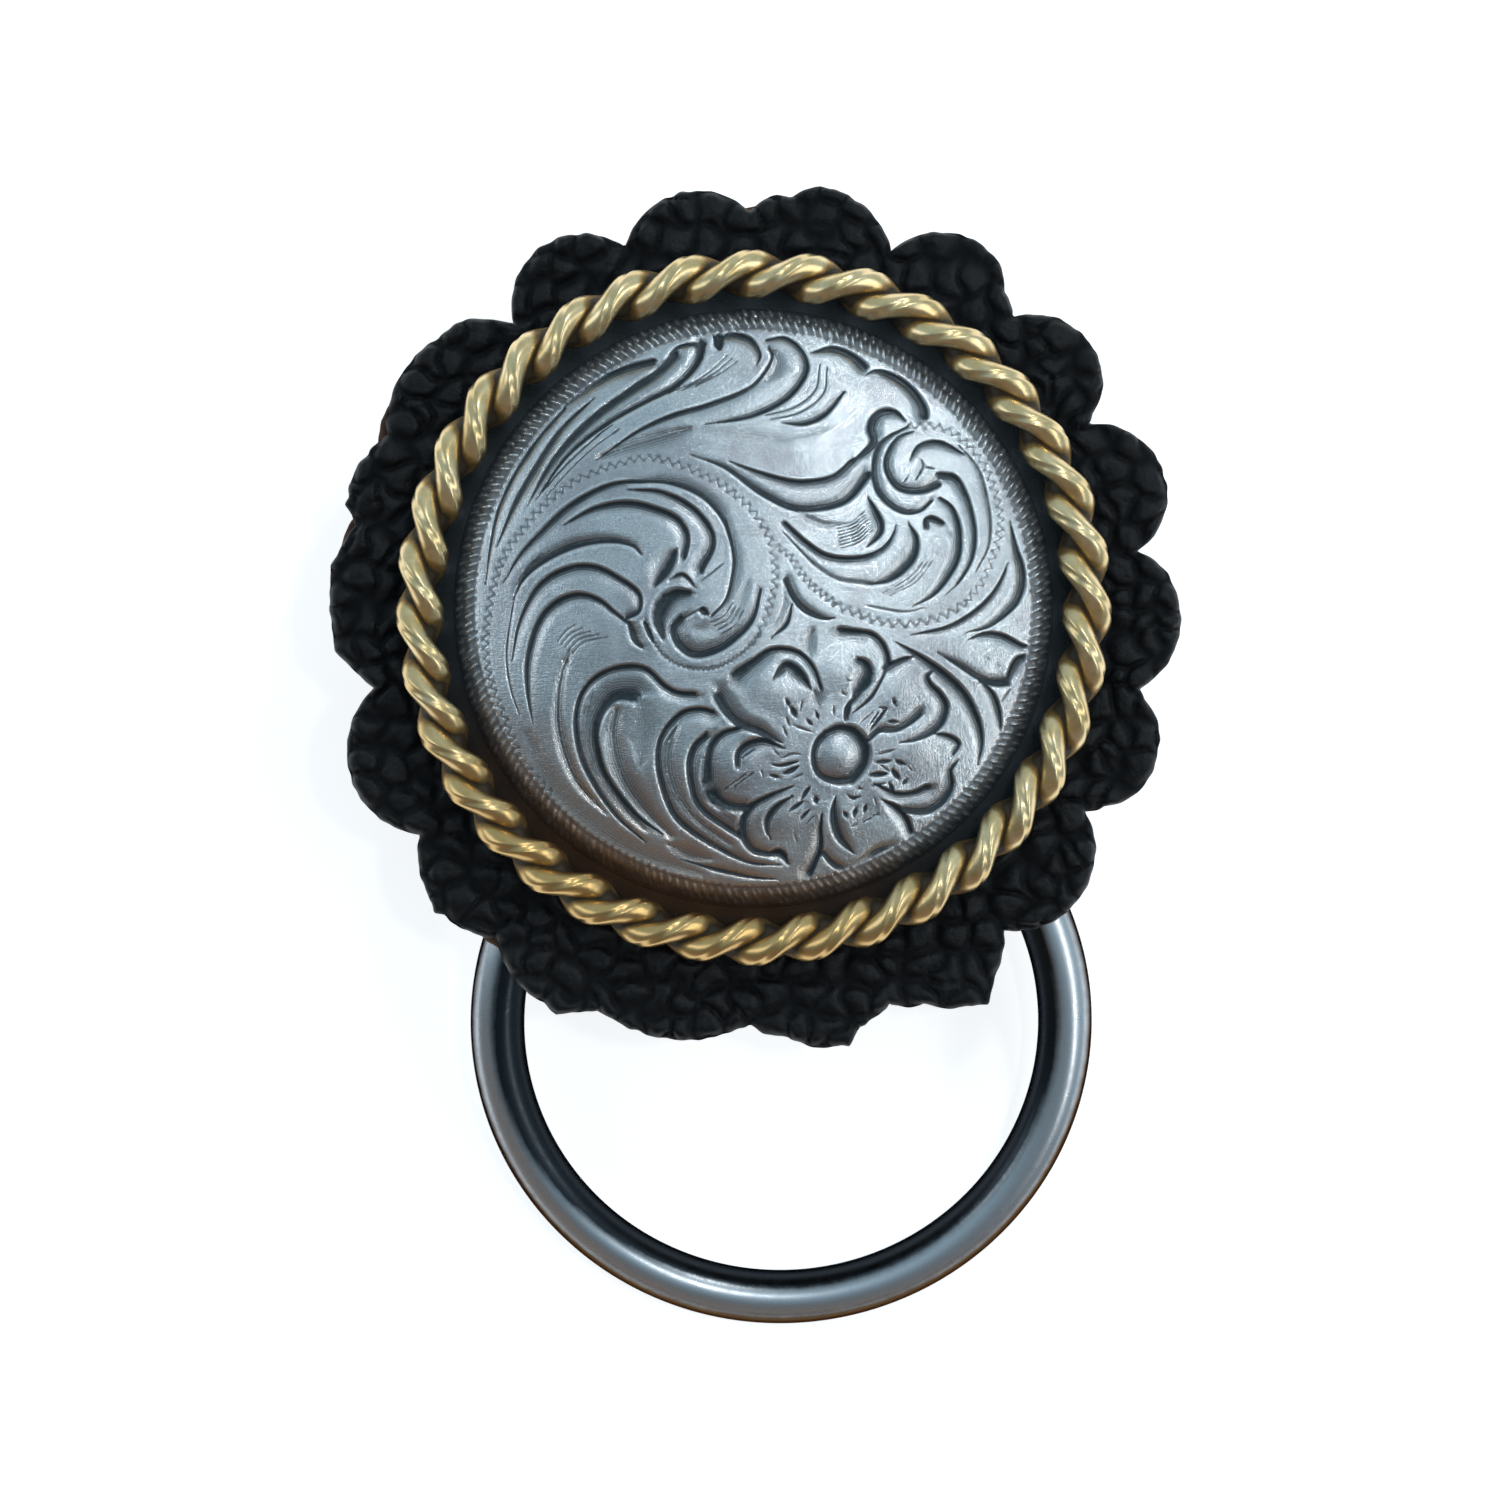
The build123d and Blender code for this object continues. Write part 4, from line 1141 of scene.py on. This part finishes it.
def make_piece(name, points, faces, material, turned=True, **numbers):
    """A closed mesh piece from points in millimetres, with numbers kept on its points for its material."""
    points = np.asarray(points, float)
    if turned:
        cos, sin = math.cos(-FACE_TURN), math.sin(-FACE_TURN)
        x = points[:, 0] * cos - points[:, 1] * sin
        y = points[:, 0] * sin + points[:, 1] * cos
        points = np.stack([x, y, points[:, 2]], axis=1)
    mesh = bpy.data.meshes.new(name)
    mesh.from_pydata((points * MM).tolist(), [], faces)
    for key, values in numbers.items():
        mesh.attributes.new(key, "FLOAT", "POINT").data.foreach_set("value", np.asarray(values, np.float32))
    mesh.polygons.foreach_set("use_smooth", [True] * len(mesh.polygons))
    mesh.materials.append(material)
    mesh.validate()
    mesh.update()
    piece = bpy.data.objects.new(name, mesh)
    bpy.context.scene.collection.objects.link(piece)
    # All its faces look outward
    work = bmesh.new()
    work.from_mesh(mesh)
    bmesh.ops.recalc_face_normals(work, faces=work.faces)
    work.to_mesh(mesh)
    work.free()
    return piece


def ring_faces(first_ring, second_ring, count):
    """Quads between two closed rings of points, given by the index of their first points."""
    faces = []
    for i in range(count):
        k = (i + 1) % count
        faces.append((first_ring + i, first_ring + k, second_ring + k, second_ring + i))
    return faces


def tube_faces(sections, sides):
    """Quads of a closed tube, whose last section meets its first."""
    faces = []
    for i in range(sections):
        here, there = i * sides, ((i + 1) % sections) * sides
        for j in range(sides):
            k = (j + 1) % sides
            faces.append((here + j, there + j, there + k, here + k))
    return faces


def plate_piece():
    """The silver plate: the engraved face, then flange, hollow back and post as turned on a lathe."""
    strokes = engraving()
    seen = [Vector(point) for point in face_points(strokes)]
    corners, _, triangles, *_ = delaunay_2d_cdt(seen, [], [], 0, 1e-7)
    points, numbers = carved_face(np.array([tuple(corner) for corner in corners]), strokes)
    faces = [tuple(triangle) for triangle in triangles]

    # The rim's foot comes first in the points, so the lathe's rings follow on from it
    section = plate_section()
    angle = angles_round(RIM_POINTS)
    rings = [points]
    here, there = 0, len(points)
    for radius, height in section:
        rings.append(ring_points(radius, angle, height))
        faces += ring_faces(here, there, RIM_POINTS)
        here, there = there, there + RIM_POINTS
    faces.append(tuple(range(here, there)))
    lathe_dark = np.repeat([0.9 if height >= seat_z else 0.25 for _, height in section], RIM_POINTS)
    for name, values in numbers.items():
        numbers[name] = np.concatenate([values, lathe_dark if name == "patina" else 0 * lathe_dark])

    piece = make_piece("engraved_plate", np.vstack(rings), faces, silver_material(), **numbers)
    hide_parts("concho_plate")
    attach(piece, "concho")


def strand_section():
    """Points of the rope's section: angle, share from the strand's middle to the gap, and reach."""
    strand_r = STRAND_SHARE * ROPE_R
    offset = ROPE_R - strand_r
    span = 2 * math.pi / ROPE_STRANDS
    side = np.arange(ROPE_STRANDS * STRAND_SIDES)
    even = 2 * ((side % STRAND_SIDES) + 0.5) / STRAND_SIDES - 1
    local = span / 2 * (0.85 * even + 0.15 * np.sin(np.pi / 2 * even))
    reach = offset * np.cos(local) + np.sqrt(strand_r**2 - (offset * np.sin(local)) ** 2)
    worn = WORN_CREST * ROPE_R / np.cos(np.clip(local, -1.4, 1.4))
    reach = -np.logaddexp(-CREST_BLEND * reach, -CREST_BLEND * worn) / CREST_BLEND
    return span * (side // STRAND_SIDES) + local, np.abs(local) / (span / 2), reach


def straightened(angle):
    """Angles bent so that, from above, a lobe runs straighter across the rope than in a plain twist."""
    turn = np.linspace(0, 2 * np.pi, 721)
    straight = np.where(turn < np.pi, np.pi / 2 * (1 - np.cos(turn)), np.pi * 1.5 + np.pi / 2 * np.cos(turn))
    bent = turn + LOBE_STRAIGHT * (straight - turn)
    whole = np.floor(angle / (2 * np.pi))
    return np.interp(angle - 2 * np.pi * whole, bent, turn) + 2 * np.pi * whole


def rope_piece():
    """The twisted rope: round strands that turn as they go round the rim."""
    base, from_middle, reach = strand_section()
    sections = LOBE_SECTIONS * ROPE_STRANDS * ROPE_TURNS
    round_rim = angles_round(sections)
    twist = ROPE_TURNS * (round_rim + ROPE_AHEAD * np.cos(round_rim))
    angle = straightened(twist[:, None] + base[None])
    uneven = 1 + ROPE_UNEVEN * np.sin(5 * round_rim + 1.0) + ROPE_FINE_UNEVEN * np.sin(11 * round_rim)
    reach = reach[None] * uneven[:, None]
    # Each lobe narrows to a tip at both ends, where it goes down between its neighbours
    aside = np.abs(np.cos(angle)) ** 3 + INNER_NARROW * np.clip(-np.cos(angle), 0, 1) ** 1.5
    groove = (from_middle[None] - GAP_START + TIP_NARROW * aside) / (1 - GAP_START + TIP_GAP * aside)
    groove = np.clip(groove, 0, 1)
    reach = reach * (1 - TIP_DEEP * groove**2 * (0.4 + 0.6 * np.minimum(aside, 1)))
    radius = ROPE_RING_R + reach * np.cos(angle)
    x = radius * np.cos(round_rim)[:, None]
    y = radius * np.sin(round_rim)[:, None]
    z = rope_z + reach * np.sin(angle)
    points = np.stack([x.ravel(), y.ravel(), np.maximum(z, seat_z + ROPE_LOWEST).ravel()], axis=1)
    inward = np.clip((ROPE_RING_R - radius) / ROPE_R, 0, 1)
    # Painted shade: brown, then dark, below a level over the rope's middle, more so inward
    low = np.clip(rope_z + ROPE_SHADE_LEVEL + ROPE_SHADE_INNER * inward - z, 0, 1)
    dark = np.maximum(groove, low).ravel()
    faces = tube_faces(sections, ROPE_STRANDS * STRAND_SIDES)
    piece = make_piece("brass_rope", points, faces, brass_material(), patina=dark)
    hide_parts("rope_border")
    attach(piece, "concho")


def circle_through(a, b, c):
    """Middle and radius of the circle through three points."""
    (ax, ay), (bx, by), (cx, cy) = a, b, c
    a2, b2, c2 = ax**2 + ay**2, bx**2 + by**2, cx**2 + cy**2
    d = 2 * (ax * (by - cy) + bx * (cy - ay) + cx * (ay - by))
    ux = (a2 * (by - cy) + b2 * (cy - ay) + c2 * (ay - by)) / d
    uy = (a2 * (cx - bx) + b2 * (ax - cx) + c2 * (bx - ax)) / d
    return (ux, uy), math.hypot(ax - ux, ay - uy)


def on_circle(deg, radius):
    """A point by its angle and radius."""
    return radius * math.cos(math.radians(deg)), radius * math.sin(math.radians(deg))


def arc_points(a, b, c, count):
    """Points on the arc from a through b towards c, without c."""
    (ux, uy), r = circle_through(a, b, c)
    first, middle, last = (math.atan2(p[1] - uy, p[0] - ux) for p in (a, b, c))
    span = (last - first) % (2 * math.pi)
    if (middle - first) % (2 * math.pi) > span:
        span -= 2 * math.pi
    angle = first + span * (np.arange(count) / count)
    return np.stack([ux + r * np.cos(angle), uy + r * np.sin(angle)], axis=1)


def scallop_outline():
    """The rosette's outline, scallop by scallop."""
    parts = []
    _, _, last_deg, last_share = SCALLOPS[-1]
    start = on_circle(last_deg, last_share * ROSETTE_R)
    for tip_deg, tip, notch_deg, notch in SCALLOPS:
        end = on_circle(notch_deg, notch * ROSETTE_R)
        parts.append(arc_points(start, on_circle(tip_deg, tip * ROSETTE_R), end, 40))
        start = end
    return np.vstack(parts)


def share_away(angles, middle_deg, half_width):
    """How far angles lie from one in degrees, as a share of a half width."""
    return np.abs((np.degrees(angles) - middle_deg + 180) % 360 - 180) / half_width


def backing_outline():
    """The backing's outline: a circle with a lobe, a painted shadow, in some of the notches."""
    angles = np.radians(np.arange(0, 360, 0.5))
    radius = np.full(len(angles), BACKING_SHARE * ROSETTE_R)
    for middle_deg, half_width, reach in BACKING_SHADOW_LOBES:
        lobe = np.sqrt(np.clip(1 - share_away(angles, middle_deg, half_width) ** 2, 0, 1))
        radius = np.maximum(radius, ROSETTE_R * (BACKING_SHARE + (reach - BACKING_SHARE) * lobe))
    return ring_points(radius, angles)


def cut_edge(outline, angles, trims):
    """Radius of a leather's cut edge at each angle: outline, small departures and a fine unevenness."""
    around = np.arctan2(outline[:, 1], outline[:, 0]) % (2 * np.pi)
    order = np.argsort(around)
    edge = np.interp(angles, around[order], radii(outline)[order], period=2 * np.pi)
    for middle_deg, half_width, outward in trims:
        edge = edge + outward * np.clip(1 - share_away(angles, middle_deg, half_width), 0, 1) ** 1.2
    on_edge = np.stack([np.cos(angles), np.sin(angles)], axis=1) * 23
    return edge + EDGE_FUZZ * waves(on_edge, EDGE_WAVES_SEED, 0.9)


def grain_cells(points, size, seed):
    """Grain of leather: each point's height in its pebble, 0 in a crease to 1 on top, and which pebble."""
    rng = np.random.default_rng(seed)
    reach = ROSETTE_R * 1.1
    grid = np.arange(-reach, reach, size)
    gx, gy = np.meshgrid(grid, grid)
    seeds = np.stack([gx.ravel(), gy.ravel()], axis=1)
    seeds += (rng.random(seeds.shape) - 0.5) * size * 0.78
    seeds = seeds[radii(seeds) > flange_r - 3 * size]
    warp = np.stack([waves(points, seed + 1, 2.2), waves(points, seed + 2, 2.2)], axis=1) * 0.16 * size
    moved = points + warp
    height = np.empty(len(points))
    which = np.empty(len(points), int)
    for start in range(0, len(points), GRAIN_CHUNK):
        chunk = slice(start, start + GRAIN_CHUNK)
        part = moved[chunk]
        away = np.linalg.norm(part[:, None, :] - seeds[None], axis=2)
        nearest = np.argpartition(away, 1, axis=1)[:, :2]
        rows = np.arange(len(part))
        first, second = away[rows, nearest[:, 0]], away[rows, nearest[:, 1]]
        swap = first > second
        first, second = np.where(swap, second, first), np.where(swap, first, second)
        crease = np.clip(1.9 * (second - first) / (second + first), 0, 1)
        dome = np.clip(1 - (first / (0.95 * size)) ** 2, 0, 1)
        height[chunk] = (crease * (2 - crease)) ** 0.65 * (0.32 + 0.68 * dome)
        which[chunk] = np.where(swap, nearest[:, 1], nearest[:, 0])
    return height, which


def leather_rise(flat):
    """Height of the rosette's grain at each point that shows, and the pebbles alone for the material."""
    pebble, which = grain_cells(flat, PEBBLE, PEBBLE_SEED)
    fine, _ = grain_cells(flat, FINE_PEBBLE, FINE_SEED)
    lift = np.random.default_rng(LIFT_SEED).random(which.max() + 1)[which]
    rise = PEBBLE_RISE * pebble + FINE_RISE * fine * pebble + LIFT_RISE * lift * pebble + CREASE_LEVEL
    past_flange = np.clip((radii(flat) - flange_r - 0.1) / 0.5, 0, 1)
    slow = SLOW_WAVE * waves(flat, SLOW_WAVE_SEED, SLOW_WAVE_LENGTH)
    return rise * past_flange + slow * past_flange, pebble


def leather_layer(name, node, outline, low, high, material, grain, around, rows):
    """A leather disc: fine grain on the part that shows, a rough cut edge, flat where it is hidden."""
    angles = angles_round(around)
    edge_r = cut_edge(outline, angles, EDGE_TRIMS if grain else ())
    flat_edge = edge_r - EDGE_ROUND
    inner_r = flange_r - UNDER_FLANGE
    hole_r = POST_R + HOLE_GAP
    rings = [(hole_r, high)]
    for share in np.linspace(0, 1, rows):
        rings.append((inner_r + (flat_edge - inner_r) * share, high))
    # The top edge is rounded over, and the cut edge goes down a little unevenly
    for turn in EDGE_TURNS:
        rings.append((flat_edge + EDGE_ROUND * np.sin(turn), high - EDGE_ROUND * (1 - np.cos(turn))))
    rng = np.random.default_rng(EDGE_SEED)
    for down in EDGE_DOWNS:
        rings.append((edge_r - EDGE_FUZZ * rng.random(around), high - (high - low) * down))
    rings += [(edge_r - EDGE_FOOT, low), (inner_r, low), (hole_r, low)]
    points = np.vstack([ring_points(radius, angles, height) for radius, height in rings])
    tone = np.zeros(len(points))
    if grain:
        shown = (points[:, 2] > high - 0.5) & (radii(points) > inner_r + 0.3)
        rise, tone[shown] = leather_rise(points[shown, :2])
        points[shown, 2] += rise
    faces = []
    for i in range(len(rings) - 1):
        faces += ring_faces(i * around, (i + 1) * around, around)
    faces += ring_faces((len(rings) - 1) * around, 0, around)
    piece = make_piece(name, points, faces, material, grain=tone)
    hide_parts(node)
    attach(piece, "concho")


def facing(angle, degrees):
    """How far an angle faces a direction given in degrees, from 0 to 1."""
    return max(0, math.cos(angle - math.radians(degrees)))


def ring_piece():
    """The wire ring, at its slope from the keeper down to the surface."""
    eye = [m for m in frame["record"]["mounts"] if m["name"] == "ring_eye"][0]
    middle = Vector(eye["pos_m"]) / MM
    turn = Vector(eye["axis"]).to_track_quat("Z", "Y").to_matrix()
    ring_r = eye["dims"]["r_mm"] + WIRE_R
    points = []
    oxide = []
    rust = []
    for i in range(RING_SECTIONS):
        a = 2 * math.pi * i / RING_SECTIONS
        for j in range(WIRE_SIDES):
            b = 2 * math.pi * j / WIRE_SIDES
            # Painted dark reflection: the dark band reaches further round the wire at the left and the right,
            # and the wire's outer edge is painted dark as well, more at the bottom
            inner = (-math.cos(b) - 0.36 + 0.72 * facing(a, 165) ** 2 + 0.34 * facing(a, 35) ** 2) / 0.26
            outer = min(1, (math.cos(b) - 0.66 + 0.36 * facing(a, -90)) / 0.30)
            oxide.append(min(1, max(0, inner, outer)))
            # Painted brown reflection, low on the wire's outside
            rust.append(max(0, math.cos(b)) * min(1, max(0, 0.25 + math.cos(a + math.radians(80)))))
            r = ring_r + WIRE_R * math.cos(b)
            points.append(middle + turn @ Vector((r * math.cos(a), r * math.sin(a), WIRE_R * math.sin(b))))
    faces = tube_faces(RING_SECTIONS, WIRE_SIDES)
    piece = make_piece("steel_ring", points, faces, ring_material(), turned=False, oxide=oxide, rust=rust)
    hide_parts("ring")
    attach(piece, "ring")


def dress_node(node, material):
    """Give a CAD node its finish."""
    for slot in frame["nodes"][node].material_slots:
        slot.material = material


def floor():
    """A pale, plain floor."""
    size = 1.2
    mesh = bpy.data.meshes.new("floor")
    corners = [(-size, -size, 0), (size, -size, 0), (size, size, 0), (-size, size, 0)]
    mesh.from_pydata(corners, [], [(0, 1, 2, 3)])
    material, graph, shader = new_material("floor_paint")
    graph.fill(shader, {
        "Base Color": (0.85, 0.85, 0.85),
        "Roughness": 0.9,
        "Emission Color": (1, 1, 1),
        "Emission Strength": 0.7,
    })
    mesh.materials.append(material)
    piece = bpy.data.objects.new("floor", mesh)
    bpy.context.scene.collection.objects.link(piece)


def area_light(name, place, target_height, size, power, colour):
    """A soft light with four corners that looks at a height on the concho's axis."""
    lamp = bpy.data.lights.new(name, "AREA")
    lamp.shape = "RECTANGLE"
    lamp.size, lamp.size_y = size
    lamp.energy = power
    lamp.color = colour
    piece = bpy.data.objects.new(name, lamp)
    piece.location = place
    look = Vector((0, 0, target_height)) - Vector(place)
    piece.rotation_euler = look.to_track_quat("-Z", "Y").to_euler()
    bpy.context.scene.collection.objects.link(piece)


def camera():
    """Straight above, as the photograph looks, the face turned by its own small angle."""
    lens = bpy.data.cameras.new("camera")
    lens.sensor_width = 36.0
    lens.lens = LENS
    piece = bpy.data.objects.new("camera", lens)
    piece.location = [place * MM for place in CAMERA_PLACE]
    piece.rotation_euler = (0, 0, -FACE_TURN)
    bpy.context.scene.collection.objects.link(piece)
    bpy.context.scene.camera = piece


def world():
    """A soft surrounding light: cool and bright at the upper right, dim and warm at the lower left."""
    sky = bpy.data.worlds.new("surround")
    graph = Graph(sky)
    share = graph.spread(graph.along(SKY_TOWARDS, "Generated"), -0.8, 0.8)
    ramp = graph.add("ValToRGB", {"Fac": share})
    elements = ramp.color_ramp.elements
    for element, (_, colour) in zip(elements, (SKY[0], SKY[-1])):
        element.color = (*colour, 1)
    for position, colour in SKY[1:-1]:
        elements.new(position).color = (*colour, 1)
    graph.fill(graph.nodes["Background"], {"Color": ramp.outputs["Color"], "Strength": 1.0})
    bpy.context.scene.world = sky


camera()
plate_piece()
rope_piece()
black = leather_material("black_grained_leather", (0.0012, 0.0016, 0.002), (0.003, 0.004, 0.0055), 0.4)
brown = leather_material("brown_raw_leather", (0.045, 0.018, 0.010), (0.12, 0.055, 0.03), 0.75)
leather_layer("leather_rosette", "rosette", scallop_outline(), rosette_low.z,
              rosette_high.z, black, grain=True, around=1080, rows=38)
leather_layer("leather_backing", "rosette_backing", backing_outline(), backing_low.z,
              backing_high.z, brown, grain=False, around=720, rows=12)
ring_piece()
dress_node("ring_keeper", strap_material())
dress_node("back_screw", screw_material())
floor()
for light in LIGHTS:
    area_light(*light)
world()
bpy.context.scene.view_settings.view_transform = "Standard"
